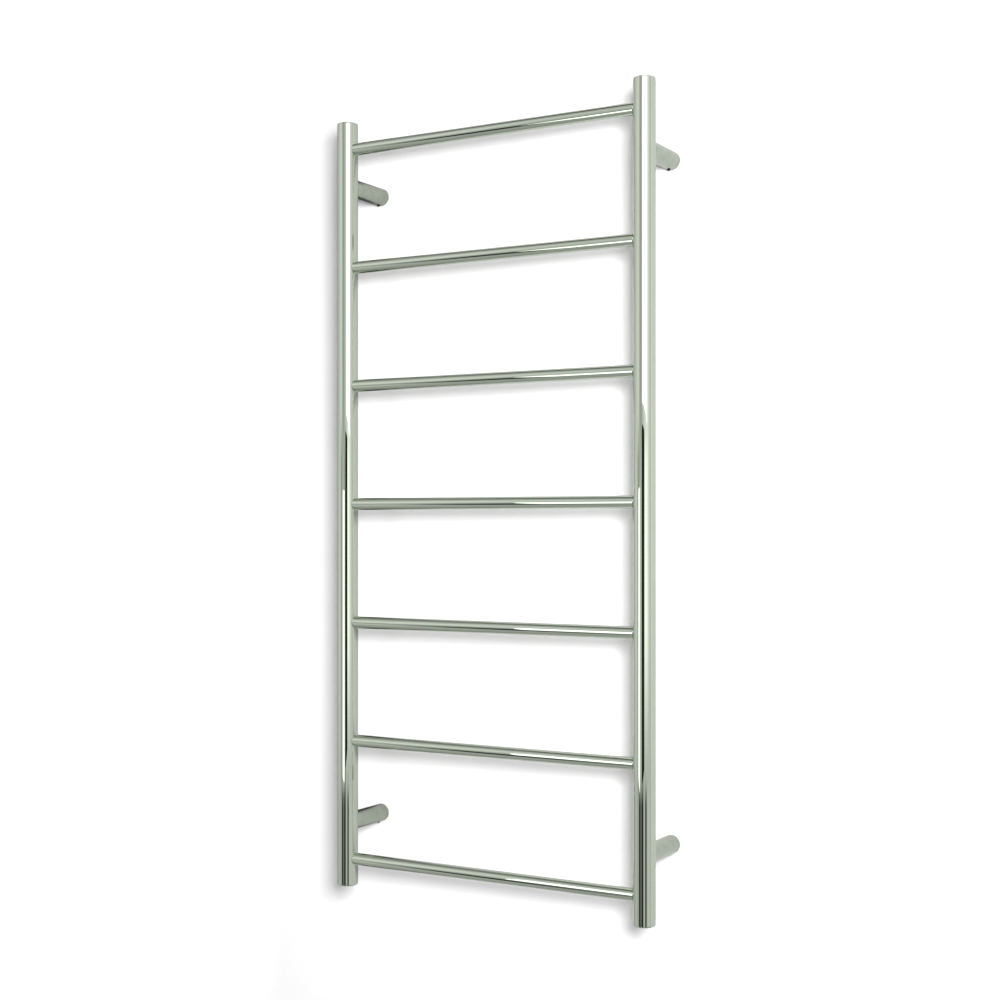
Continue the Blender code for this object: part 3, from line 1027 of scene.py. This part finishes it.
@dataclass
class Post(Corner):
    """One post from the wall to an upright, with the hole for its set screw."""

    wall: float = 2.5 * MM
    sides: int = 112
    gap: float = 0.08 * MM
    edge: float = 0.35 * MM
    wall_edge: float = 0.8 * MM
    screw_hole: float = 2.5 * MM
    strip: float = 4.0 * MM
    rim: float = 1.2 * MM
    plain: float = 19.0 * MM

    def build(self, bench: Bench, upright: Upright, screw_depth: float) -> None:
        """Makes the post.

        Args:
            bench: Where the piece goes.
            upright: The upright that it carries.
            screw_depth: How far the set screw is from the wall.
        """
        node = self.node("post")
        box = Round.of(node)
        radius = box.size.x / 2
        bore = radius - self.wall
        length = -upright.foot.y
        seat = box.back
        outline = [
            Turn(radius, 0, self.wall_edge, 4),
            Turn(radius, screw_depth - self.strip),
            Turn(radius, screw_depth + self.strip),
            Turn(radius, length - self.plain),
            Turn(radius, length - self.rim),
            Turn(radius, length),
            Turn(bore, length),
            Turn(bore, 0, self.edge, 3),
        ]
        blank = Blank.turned(outline, self.sides, bored=True).place(seat, OUT_OF_WALL)
        reach = upright.radius + self.gap
        inner_end = upright.foot.y + self.rim * 1.5

        def cope(spot: Vector) -> Vector:
            """Pulls a vertex near the upright's axis back by the shape of the upright."""
            if spot.y > inner_end:
                return spot
            back = math.sqrt(reach**2 - (spot.x - upright.foot.x) ** 2)
            return Vector((spot.x, spot.y + back, spot.z))

        blank.move(cope)
        nearest = upright.foot.y + reach + self.gap

        def on_cope(vert: bmesh.types.BMVert) -> bool:
            """Whether a vertex lies on the outer edge of the cope."""
            off = math.hypot(vert.co.x - seat.x, vert.co.z - seat.z)
            return off > radius - 0.1 * MM and vert.co.y < nearest

        blank.round_edges(on_cope, self.edge, 3)
        piece = blank.piece(f"{node}_tube")
        drill = rod(self.screw_hole, radius + 2 * MM, 48)
        drill.place(Vector((seat.x, seat.y - screw_depth, seat.z)), DOWN, OFF_FACET)
        bench.fit(drilled(piece, [drill]), node, POST_PAINTED_SHADE_AND_REFLECTIONS)


# ------------------------------------------------------------------ fixings
@dataclass
class SetScrew(Corner):
    """A headless screw with a fine thread and a hexagon socket."""

    pitch: float = 0.7 * MM
    thread_depth: float = 0.4 * MM
    chamfer: float = 0.45 * MM
    tip_drop: float = 0.8 * MM
    key: float = 2.5 * MM
    key_depth: float = 1.8 * MM

    def build(self, bench: Bench) -> None:
        """Makes the screw with its point towards the spigot."""
        node = self.node("set_screw")
        box = Round.of(node)
        radius = box.size.x / 2
        length = box.size.z
        thread = Thread(radius, radius - self.thread_depth, self.pitch)
        blank = Blank.threaded(thread, 0, length, 48)

        def taper(spot: Vector) -> Vector:
            """Takes the thread down at the point and at the socket end."""
            from_tip = (length - spot.z) + radius - self.tip_drop
            from_socket = spot.z + radius - self.chamfer
            off = math.hypot(spot.x, spot.y)
            limit = min(off, from_tip, from_socket)
            return Vector((spot.x * limit / off, spot.y * limit / off, spot.z))

        blank.move(taper)
        piece = blank.place(box.foot).piece(f"{node}_threaded")
        key = rod(self.key / math.sqrt(3), 2 * self.key_depth, 6)
        key.place(box.foot - UP * self.key_depth)
        bench.fit(drilled(piece, [key]), node, BLACK_OXIDE)

    @property
    def from_wall(self) -> float:
        """How far its axis stands from the wall."""
        return -self.box("set_screw").centre.y


@dataclass
class WallScrew(Corner):
    """A pan-head screw with a cross recess and a coarse thread."""

    pitch: float = 1.8 * MM
    crest: float = 2.1 * MM
    thread_depth: float = 0.75 * MM
    under_head: float = 5.3 * MM
    plain_length: float = 9.0 * MM
    point: float = 5.0 * MM
    slot_width: float = 0.95 * MM
    slot_length: float = 4.3 * MM
    slot_depth: float = 1.5 * MM
    slot_turn: float = 0.6
    slot_taper: float = 0.45
    tip: float = 0.15 * MM
    sides: int = 40

    def build(self, bench: Bench) -> None:
        """Makes the head, the shank and the thread as one solid, with a cross in the head."""
        node = self.node("wall_screw")
        box = Round.of(node)
        head = box.size.x / 2
        under = self.box("spigot").high.y - self.under_head
        root = self.crest - self.thread_depth
        reach = box.high.y - under
        rise = under - box.low.y
        thread = Thread(self.crest, root, self.pitch, crest_share=0.06, root_share=0.4)
        start = -self.plain_length
        blank = Blank.threaded(thread, -reach, start, self.sides)

        def sharpen(spot: Vector) -> Vector:
            """Draws the thread in to the point."""
            limit = self.tip + max(0.0, spot.z + reach) / self.point * self.crest
            off = math.hypot(spot.x, spot.y)
            keep = min(1.0, limit / off)
            return Vector((spot.x * keep, spot.y * keep, spot.z))

        blank.move(sharpen)
        outline = [
            Turn(0, rise),
            Turn(head * 0.55, rise - 0.12 * MM),
            Turn(head * 0.9, rise - 0.75 * MM, 0.5 * MM, 4),
            Turn(head, 0.35 * MM, 0.3 * MM, 3),
            Turn(head, 0),
            Turn(root + 0.35 * MM, 0),
            Turn(root + 0.35 * MM, start + 1.0 * MM),
            Turn(root * 0.7, start - 0.5 * MM),
            Turn(0, start - 0.5 * MM),
        ]
        solid = Blank.turned(outline, self.sides)
        seat = Vector((box.centre.x, under, box.centre.z))
        whole = solid.place(seat, OUT_OF_WALL).piece(f"{node}_threaded")
        shank = blank.place(seat, OUT_OF_WALL).piece(f"{node}_shank")
        combined(whole, shank, "UNION")
        recess = seat + OUT_OF_WALL * (rise - self.slot_depth)
        for turn in (self.slot_turn, self.slot_turn + math.pi / 2):
            drilled(whole, [self._blade().place(recess, OUT_OF_WALL, turn)])
        bench.fit(whole, node, ZINC)

    def _blade(self) -> Blank:
        """One blade of the driver's cross, narrower at its tip."""
        blade = Blank()
        made = bmesh.ops.create_cube(blade.bm, size=1)["verts"]
        bmesh.ops.scale(
            blade.bm, vec=(self.slot_length, self.slot_width, 2 * self.slot_depth), verts=made
        )
        bmesh.ops.translate(blade.bm, vec=(0, 0, self.slot_depth), verts=made)
        for vert in made:
            if vert.co.z < self.slot_depth:
                vert.co.x *= self.slot_taper
        return blade


@dataclass
class Spigot(Corner):
    """The turned plug on the wall that a post slides over."""

    sides: int = 96
    chamfer: float = 0.8 * MM
    base: float = 5.0 * MM
    shank_hole: float = 2.6 * MM
    head_hole: float = 4.3 * MM
    lead_hole: float = 4.1 * MM
    edge: float = 0.3 * MM

    def build(self, bench: Bench, lead_x: float | None) -> None:
        """Makes the plug and its holes.

        Args:
            bench: Where the piece goes.
            lead_x: Where the lead's axis is, in the wired spigot.
        """
        node = self.node("spigot")
        box = Round.of(node)
        radius = box.size.x / 2
        length = box.size.y
        seat = box.back
        outline = [
            Turn(0, length),
            Turn(radius - self.chamfer, length),
            Turn(radius, length - self.chamfer, 0.2 * MM, 2),
            Turn(radius, 0, self.edge, 2),
            Turn(0, 0),
        ]
        piece = Blank.turned(outline, self.sides).place(seat, OUT_OF_WALL).piece(f"{node}_turned")
        screw = [
            Turn(0, length + MM),
            Turn(self.head_hole, length + MM),
            Turn(self.head_hole, self.base),
            Turn(self.shank_hole, self.base),
            Turn(self.shank_hole, -MM),
            Turn(0, -MM),
        ]
        screw_seat = Vector((self.box("wall_screw").centre.x, seat.y, seat.z))
        drills = [Blank.turned(screw, 56).place(screw_seat, OUT_OF_WALL, OFF_FACET)]
        if lead_x is not None:
            through = rod(self.lead_hole, length + 2 * MM, 56)
            lead_seat = Vector((lead_x, seat.y + MM, seat.z))
            drills.append(through.place(lead_seat, OUT_OF_WALL, OFF_FACET))
        bench.fit(drilled(piece, drills), node, TURNED_STEEL)


# ------------------------------------------------------------------ wiring
@dataclass
class Wiring:
    """The heating cable, leads, sleeves, cut-out, bush and earth bond inside the tubes."""

    bend_steps: int = 10
    gap: float = 0.3 * MM
    lead_return: float = 6.0 * MM
    lead_slant: float = 10.0 * MM
    lug_barrel: float = 1.8 * MM
    lug_ring: float = 4.3 * MM
    lug_plate: float = 0.8 * MM
    wire_step: float = 6.0 * MM

    def build(self, bench: Bench, left: Upright, right: Upright, heights: Sequence[float]) -> None:
        """Makes every wired piece.

        Args:
            bench: Where the pieces go.
            left: The upright at -X.
            right: The wired upright, at +X.
            heights: The bars' heights, top one first.
        """
        self._heating_cable(bench, left, right, heights)
        self._leads(bench, right)
        self._sleeves(bench)
        self._bush(bench)
        self._earth(bench, right)

    def _fillet(self, corners: Sequence[Vector], radii: Sequence[float]) -> list[Vector]:
        """Rounds the inner corners of a route.

        Args:
            corners: The route's corners.
            radii: The bend radius at each inner corner.

        Returns:
            The points of the rounded route.
        """
        points = [corners[0]]
        for before, corner, after, radius in zip(corners, corners[1:], corners[2:], radii):
            back = (before - corner).normalized()
            ahead = (after - corner).normalized()
            half = back.angle(ahead) / 2
            centre = corner + (back + ahead).normalized() * radius / math.sin(half)
            first = (corner + back * radius / math.tan(half) - centre).normalized()
            last = (corner + ahead * radius / math.tan(half) - centre).normalized()
            for step in range(self.bend_steps + 1):
                points.append(centre + first.slerp(last, step / self.bend_steps) * radius)
        points.append(corners[-1])
        return points

    def _run(self, name: str, points: Sequence[Vector], diameter: float) -> bpy.types.Object:
        """A round wire along some points, as a mesh.

        Args:
            name: The piece's name.
            points: The route.
            diameter: The wire's thickness.

        Returns:
            The piece.
        """
        curve = bpy.data.curves.new(name, "CURVE")
        curve.dimensions = "3D"
        curve.bevel_depth = diameter / 2
        curve.bevel_resolution = 4
        curve.use_fill_caps = True
        spline = curve.splines.new("POLY")
        spline.points.add(len(points) - 1)
        for spot, point in zip(spline.points, points):
            spot.co = (*point, 1)
        drawn = bpy.data.objects.new(f"{name}_line", curve)
        bpy.context.scene.collection.objects.link(drawn)
        graph = bpy.context.evaluated_depsgraph_get()
        mesh = bpy.data.meshes.new_from_object(drawn.evaluated_get(graph))
        bpy.data.objects.remove(drawn)
        bpy.data.curves.remove(curve)
        blank = Blank()
        blank.bm.from_mesh(mesh)
        bpy.data.meshes.remove(mesh)
        bmesh.ops.remove_doubles(blank.bm, verts=blank.bm.verts, dist=MERGE)
        return blank.piece(name)

    def _heating_cable(
        self, bench: Bench, left: Upright, right: Upright, heights: Sequence[float]
    ) -> None:
        """The cable that winds up through every bar."""
        box = Round.of("heating_cable")
        diameter = box.size.y
        bend = left.radius - left.wall - diameter / 2
        places = [right.foot.x, left.foot.x]
        depth = left.foot.y
        start = Round.of("splice_sleeve").low.z - self.gap
        corners = [Vector((right.foot.x, depth, start))]
        for index, height in enumerate(reversed(heights)):
            here, there = places[index % 2], places[(index + 1) % 2]
            corners += [Vector((here, depth, height)), Vector((there, depth, height))]
        corners.append(Vector((corners[-1].x, depth, box.high.z)))
        points = self._fillet(corners, [bend] * (len(corners) - 2))
        bench.fit(self._run("heating_cable_run", points, diameter), "heating_cable", SILICONE)

    def _leads(self, bench: Bench, right: Upright) -> None:
        """The lead at the wall, and the link from the cut-out down to the splice."""
        supply = Round.of("supply_lead")
        lead_x, depth_z = supply.centre.x, supply.centre.z
        diameter = supply.size.x
        ends = [
            Vector((lead_x, supply.high.y, depth_z)),
            Vector((lead_x, supply.low.y, depth_z)),
        ]
        bench.fit(self._run("supply_lead_run", ends, diameter), "supply_lead", RUBBER)
        link = Round.of("link_lead")
        bend = right.radius - right.wall - diameter / 2
        turn_y = right.foot.y + bend + self.lead_return / 2
        corners = [
            Vector((lead_x, link.high.y, depth_z)),
            Vector((lead_x, turn_y + self.lead_slant, depth_z)),
            Vector((right.foot.x, turn_y, depth_z)),
            Vector((right.foot.x, right.foot.y, depth_z)),
            Vector((right.foot.x, right.foot.y, link.low.z)),
        ]
        points = self._fillet(corners, [self.lead_return, self.lead_return, bend])
        bench.fit(self._run("link_lead_run", points, diameter), "link_lead", RUBBER)

    def _sleeves(self, bench: Bench) -> None:
        """The cut-out's case, the splice's sleeve and the cable's end seal."""
        case = Round.of("thermal_cutout")
        radius, length = case.size.x / 2, case.size.y
        neck = radius * 0.86
        outline = [
            Turn(0, length),
            Turn(neck, length, 0.5 * MM, 3),
            Turn(neck, length - 1.6 * MM),
            Turn(radius, length - 2.2 * MM, 0.3 * MM, 2),
            Turn(radius, 2.2 * MM, 0.3 * MM, 2),
            Turn(neck, 1.6 * MM),
            Turn(neck, 0, 0.5 * MM, 3),
            Turn(0, 0),
        ]
        blank = Blank.turned(outline, 48).place(case.back, OUT_OF_WALL)
        bench.fit(blank.piece("thermal_cutout_case"), "thermal_cutout", CREAM_PLASTIC)
        for node in ("splice_sleeve", "cable_end_seal"):
            sleeve = Round.of(node)
            radius, length = sleeve.size.x / 2, sleeve.size.z
            steps = 10
            outline = [Turn(0, length)]
            for step in range(steps + 1):
                share = step / steps
                swell = math.sin(math.pi * share) ** 0.5
                outline.append(Turn(radius * (0.78 + 0.22 * swell), length * (1 - share)))
            outline.append(Turn(0, 0))
            blank = Blank.turned(outline, 48).place(sleeve.foot)
            bench.fit(blank.piece(f"{node}_shrunk"), node, SHRINK)

    def _bush(self, bench: Bench) -> None:
        """The flanged bush that the lead passes through."""
        box = Round.of("lead_bush")
        length = box.size.y
        bore = Round.of("supply_lead").size.x / 2 + self.gap
        body = bore + 1 * MM
        flange = box.size.x / 2
        outline = [
            Turn(flange, length, 0.3 * MM, 3),
            Turn(flange, length - 0.8 * MM),
            Turn(body, length - 0.8 * MM),
            Turn(body, 0, 0.3 * MM, 2),
            Turn(bore, 0),
            Turn(bore, length, 0.3 * MM, 3),
        ]
        blank = Blank.turned(outline, 48, bored=True).place(box.back, OUT_OF_WALL)
        bench.fit(blank.piece("lead_bush_moulded"), "lead_bush", NYLON)

    def _earth(self, bench: Bench, right: Upright) -> None:
        """The stud, its nut, the lug and the wire that earth the metal."""
        stud = Round.of("earth_stud")
        crest = stud.size.x / 2
        blank = Blank.threaded(Thread(crest, crest - 0.25 * MM, 0.6 * MM), 0, stud.size.z, 40)
        bench.fit(blank.place(stud.foot).piece("earth_stud_threaded"), "earth_stud", BRASS)

        nut = Round.of("earth_nut")
        hole = crest + 0.15 * MM
        corner = nut.size.x / 2
        outline = [
            Turn(corner * 0.93, nut.size.z),
            Turn(corner, nut.size.z - 0.5 * MM),
            Turn(corner, 0.5 * MM),
            Turn(corner * 0.93, 0),
            Turn(hole, 0),
            Turn(hole, nut.size.z),
        ]
        blank = Blank.turned(outline, 36, bored=True)
        flats = corner * math.cos(math.pi / 6)

        def flatten(spot: Vector) -> Vector:
            """Brings the outside in to six flats."""
            off = math.hypot(spot.x, spot.y)
            if off < (hole + flats) / 2:
                return spot
            turn = (math.atan2(spot.y, spot.x) + FULL_TURN) % (math.pi / 3) - math.pi / 6
            limit = min(off, flats / math.cos(turn))
            return Vector((spot.x * limit / off, spot.y * limit / off, spot.z))

        blank.move(flatten)
        bench.fit(blank.place(nut.foot).piece("earth_nut_hexagon"), "earth_nut", BRASS)

        lug = Round.of("earth_lug")
        wire = Round.of("earth_wire")
        eye = crest + 0.3 * MM
        ring = [
            Turn(self.lug_ring, 0, 0.15 * MM, 2),
            Turn(self.lug_ring, self.lug_plate, 0.15 * MM, 2),
            Turn(eye, self.lug_plate),
            Turn(eye, 0),
        ]
        whole = Blank.turned(ring, 48, bored=True).place(stud.foot).piece("earth_lug_crimped")
        crimped = self.lug_barrel * 0.88
        crimp = [
            Turn(0, lug.size.z),
            Turn(self.lug_barrel, lug.size.z, 0.3 * MM, 2),
            Turn(self.lug_barrel, lug.size.z * 0.7),
            Turn(crimped, lug.size.z * 0.6),
            Turn(crimped, lug.size.z * 0.4),
            Turn(self.lug_barrel, lug.size.z * 0.3),
            Turn(self.lug_barrel, 0),
            Turn(0, 0),
        ]
        barrel_seat = Vector((lug.high.x - self.lug_barrel, stud.centre.y, lug.low.z))
        barrel = Blank.turned(crimp, 40).place(barrel_seat).piece("crimp")
        combined(whole, barrel, "UNION")
        bench.fit(whole, "earth_lug", BRASS)

        diameter = wire.size.y
        top = wire.high.z
        start_x = wire.low.x + diameter / 2
        corners = [
            Vector((start_x, right.foot.y, top)),
            Vector((start_x, right.foot.y, top - self.wire_step)),
            Vector((barrel_seat.x, right.foot.y, top - 2 * self.wire_step)),
            Vector((barrel_seat.x, right.foot.y, wire.low.z)),
        ]
        points = self._fillet(corners, [diameter] * 2)
        bench.fit(self._run("earth_wire_run", points, diameter), "earth_wire", EARTH_JACKET)


# ------------------------------------------------------------------ studio
def even(tone: float) -> dict[float, float]:
    """One tone at every distance, as a table for a ramp."""
    return {0.0: tone, 1.0: tone}


@dataclass
class Studio:
    """A white wall and a pale floor, soft lights, and the tones that the steel mirrors."""

    wall_reach: float = 6.0
    wall_below: float = 0.95
    floor_drop: float = 0.40
    camera_seat: tuple[float, float, float] = (1.0765, -1.9314, -0.0303)
    camera_bearing: float = 29.837
    lens: float = 56.01
    shift: float = 0.0251

    def build(self) -> None:
        """Makes the wall, floor, lights, world and camera."""
        bpy.context.scene.view_settings.view_transform = "Standard"
        self._wall()
        self._floor()
        key = self._softbox("key", (1.285, -1.812, 0.21), (0.48, 0.48), 148.0, towards_rack=True)
        key.visible_glossy = False
        self._softbox("upper_softbox", (0.99, -1.29, 0.92), (1.42, 1.40), 1.75)
        self._softbox("low_softbox", (-0.46, -1.39, -0.28), (0.44, 0.66), 1.9)
        self._dark_screen()
        self._world()
        self._camera()

    def _sheet(self, name: str, size: float, seat: Vector, towards: Vector) -> bpy.types.Object:
        """A square stage sheet.

        Args:
            name: The object's name.
            size: Its side.
            seat: Its middle.
            towards: Where its front faces.

        Returns:
            The sheet.
        """
        blank = Blank()
        bmesh.ops.create_grid(blank.bm, x_segments=1, y_segments=1, size=size / 2)
        return self._stage(blank.place(seat, towards), name)

    @staticmethod
    def _stage(blank: Blank, name: str) -> bpy.types.Object:
        """Makes a blank part of the stage."""
        mesh = bpy.data.meshes.new(name)
        blank.bm.to_mesh(mesh)
        blank.bm.free()
        sheet = bpy.data.objects.new(name, mesh)
        bpy.context.scene.collection.objects.link(sheet)
        return sheet

    def _paint(
        self,
        sheet: bpy.types.Object,
        tone: Mapping[float, float],
        tone_seen: Mapping[float, float],
        one_sided: bool = False,
    ) -> None:
        """Gives a stage sheet matt paint.

        Args:
            sheet: The sheet.
            tone: How much light it returns to the rack, by the distance to the right in metres.
            tone_seen: How much it returns to a viewer, by the same distance.
            one_sided: Whether it is clear from behind, and to what it touches.
        """
        material = bpy.data.materials.new(f"{sheet.name}_paint")
        material.use_nodes = True
        graph = Graph(material.node_tree)
        seen = graph.signal("ShaderNodeLightPath", "Is Camera Ray")
        seat = graph.node("ShaderNodeTexCoord").outputs["Object"]
        right = graph.parts(seat)[0]
        sockets = {"Color": seen.blend(right.ramp(tone), right.ramp(tone_seen))}
        paint = graph.node("ShaderNodeBsdfDiffuse", sockets=sockets).outputs[0]
        if one_sided:
            behind = graph.signal("ShaderNodeNewGeometry", "Backfacing")
            touching = graph.signal("ShaderNodeLightPath", "Ray Length").window(2 * MM, 1 * MM)
            clear = graph.node("ShaderNodeBsdfTransparent").outputs[0]
            paint = graph.node(
                "ShaderNodeMixShader", sockets={0: behind + touching, 1: paint, 2: clear}
            ).outputs[0]
        graph.node("ShaderNodeOutputMaterial", sockets={"Surface": paint})
        sheet.data.materials.append(material)

    def _wall(self) -> None:
        """The wall behind the rack, clear from behind so that the fixings can be seen."""
        seat = Vector((0, 0.1 * MM, self.wall_reach / 2 - self.wall_below))
        wall = self._sheet("studio_wall", self.wall_reach, seat, OUT_OF_WALL)
        # Painted shadow: the tone that the rack mirrors holds a near-black band from 0.39 m to
        # 0.25 m left of the middle, as though the left upright's shadow lay there. The bars' left
        # ends mirror it as dark edges. This whole tone is also a painted shade, darker than the
        # tone the camera sees.
        tone = {
            -0.42: 0.34, -0.39: 0.05, -0.25: 0.05, -0.235: 0.26, -0.2: 0.31, 0.05: 0.31, 0.35: 0.27
        }
        # Painted light: the wall looks brighter to the camera towards the far left, away from the
        # rack, where the lamps light it less.
        tone_seen = {-0.85: 0.98, -0.42: 0.52, -0.2: 0.52, 0.0: 0.50, 0.3: 0.52}
        self._paint(wall, tone, tone_seen, one_sided=True)

    def _floor(self) -> None:
        """The pale floor under the rack, which only lights it, so that it hides nothing."""
        level = CAD_BOX[0][2] - self.floor_drop
        floor = self._sheet("studio_floor", self.wall_reach, Vector((0, 0, level)), UP)
        self._paint(floor, even(0.6), even(0.6))
        floor.visible_glossy = False
        floor.visible_camera = False

    def _dark_screen(self) -> None:
        """A black screen low in front, which only shows as the dark stripe in the steel."""
        low, high, depth = Vector((0.19, -0.75)), Vector((1.27, 0.25)), -2.45
        blank = Blank()
        bmesh.ops.create_grid(blank.bm, x_segments=1, y_segments=1, size=0.5)
        bmesh.ops.scale(blank.bm, vec=(high.x - low.x, high.y - low.y, 1), verts=blank.bm.verts)
        middle = (low + high) / 2
        blank.place(Vector((middle.x, depth, middle.y)), -OUT_OF_WALL)
        screen = self._stage(blank, "dark_screen")
        self._paint(screen, even(0.02), even(0.02))
        screen.visible_camera = False
        screen.visible_shadow = False
        screen.visible_diffuse = False

    def _softbox(
        self,
        name: str,
        seat: Sequence[float],
        size: tuple[float, float],
        tone: float,
        towards_rack: bool = False,
    ) -> bpy.types.Object:
        """A flat light that faces the wall or the rack.

        Args:
            name: The light's name.
            seat: Its middle.
            size: Its width and height.
            tone: How bright its face is.
            towards_rack: Whether it is turned to the middle of the rack.

        Returns:
            The light's object.
        """
        light = bpy.data.lights.new(name, "AREA")
        light.shape = "RECTANGLE"
        light.size, light.size_y = size
        light.energy = tone * math.pi * size[0] * size[1]
        lamp = bpy.data.objects.new(name, light)
        bpy.context.scene.collection.objects.link(lamp)
        lamp.location = seat
        back = Vector(seat) if towards_rack else OUT_OF_WALL
        lamp.rotation_euler = back.to_track_quat("Z", "Y").to_euler()
        lamp.visible_camera = False
        return lamp

    def _world(self) -> None:
        """Tones of the room by bearing and height: pale screens, gaps and a dark low front."""
        world = bpy.data.worlds.new("studio")
        world.use_nodes = True
        bpy.context.scene.world = world
        graph = Graph(world.node_tree)
        way = graph.node("ShaderNodeTexCoord").outputs["Generated"]
        x, y, z = graph.parts(way)
        bearing = x.bearing(0 - y) * math.degrees(1)
        rise = z.arc_sine() * math.degrees(1)
        upper = bearing.ramp(
            {
                -180: 0.60, -110: 0.62, -88: 0.66, -70: 0.72, -57: 0.84, -46: 0.90, -38: 0.95,
                -33: 0.92, -27: 0.66, -22: 0.58, -13: 0.44, -4: 0.50, 5: 0.74, 12: 0.86, 58: 1.10,
                64: 1.06, 72: 0.90, 82: 0.75, 93: 0.75, 180: 0.60,
            }
        )
        level = bearing.ramp(
            {
                -180: 0.60, -120: 0.66, -88: 0.68, -70: 0.78, -57: 0.86, -50: 0.75, -44: 0.55,
                -38: 0.40, -33: 0.44, -27: 0.55, -20: 0.64, -10: 0.62, -3: 0.62, 3: 0.46,
                10: 0.34, 18: 0.60, 24: 0.90, 32: 1.50, 45: 1.55, 54: 1.42, 60: 1.16, 64: 1.07,
                72: 0.87, 83: 0.74, 180: 0.60,
            }
        )
        level_low = level.least(0.68)
        ground = bearing.ramp(
            {
                -180: 0.55, -120: 0.60, -88: 0.52, -71: 0.62, -57: 0.68, -50: 0.58, -44: 0.46,
                -38: 0.72, -35: 0.68, -32.8: 0.10, -23: 0.04, -17: 0.10, -10: 0.24, -4: 0.20,
                0: 0.06, 3: 0.0, 10: 0.0, 14: 0.24, 18: 0.60, 26: 0.70, 31: 0.46, 35: 0.10,
                44: 0.08, 49: 0.38, 54: 0.72, 62: 0.76, 73: 0.75, 83: 0.65, 180: 0.55,
            }
        )
        ceiling = rise.ramp({0: 0.90, 28: 0.92, 38: 0.66, 47: 0.60, 54: 0.40, 62: 0.12, 90: 0.08})
        near_floor = rise.ramp(
            {-90: 0.30, -56: 0.26, -48: 0.46, -39: 0.50, -33: 0.26, -28: 0.03, -17: 0.0, 0: 0.4}
        )
        far_floor = rise.ramp(
            {-90: 0.36, -56: 0.46, -48: 0.44, -42: 0.14, -36: 0.14, -30: 0.28, -22: 0.35, 0: 0.5}
        )
        side_floor = rise.ramp({-90: 0.30, -56: 0.42, -40: 0.50, -30: 0.62, -21: 0.72, -11: 0.82})
        floor = bearing.window(-32, -27).blend(near_floor, far_floor)
        floor = bearing.window(-37, -34.5).blend(side_floor, floor)
        tone = rise.window(-3.0, -9.5).blend(level, level_low)
        tone = rise.window(2.0, 4.5).blend(tone, upper)
        tone = rise.window(-8.9, -10.3).blend(tone, ground)
        tone = rise.window(-16.0, -20.0).blend(tone, floor)
        tone = rise.window(25.0, 38.0).blend(tone, ceiling)
        seen = graph.signal("ShaderNodeLightPath", "Is Camera Ray")
        tone = seen.blend(tone, 0.92)
        light = graph.node("ShaderNodeBackground", sockets={"Color": tone, "Strength": 1.0})
        graph.node("ShaderNodeOutputWorld", sockets={"Surface": light.outputs[0]})

    def _camera(self) -> None:
        """The camera, level and to the right of the rack."""
        data = bpy.data.cameras.new("camera")
        data.lens = self.lens
        data.sensor_width = 36
        data.shift_y = self.shift
        camera = bpy.data.objects.new("camera", data)
        bpy.context.scene.collection.objects.link(camera)
        camera.location = self.camera_seat
        camera.rotation_euler = (math.radians(90), 0, math.radians(self.camera_bearing))
        bpy.context.scene.camera = camera


# ------------------------------------------------------------------ the whole
def bar_numbers() -> list[int]:
    """The numbers of the bars in the frame, top one first."""
    names = [name for name in frame["nodes"] if name.startswith("bar_")]
    return sorted(int(name.removeprefix("bar_")) for name in names)


def main() -> None:
    """Builds every sub-assembly in order, then the studio."""
    logging.basicConfig(level=logging.INFO, format="%(name)s: %(message)s")
    bench = Bench(frame["record"])
    left, right = Upright(Side.LEFT), Upright(Side.RIGHT)
    numbers = bar_numbers()
    heights = [Round.of(f"bar_{number}").centre.z for number in numbers]
    lead = Round.of("supply_lead")
    left.build(bench, heights, None)
    right.build(bench, heights, lead.centre.z)
    for number in numbers:
        Bar(number).build(bench, left, right)
    for corner in CORNERS:
        place = (corner.end, corner.side)
        screw = SetScrew(*place)
        upright = left if corner.side is Side.LEFT else right
        Post(*place).build(bench, upright, screw.from_wall)
        screw.build(bench)
        wired = place == (End.BOTTOM, Side.RIGHT)
        Spigot(*place).build(bench, lead.centre.x if wired else None)
        WallScrew(*place).build(bench)
    Wiring().build(bench, left, right, heights)
    Studio().build()
    log.info("%d pieces", bench.count)


if __name__ == "__main__":
    main()
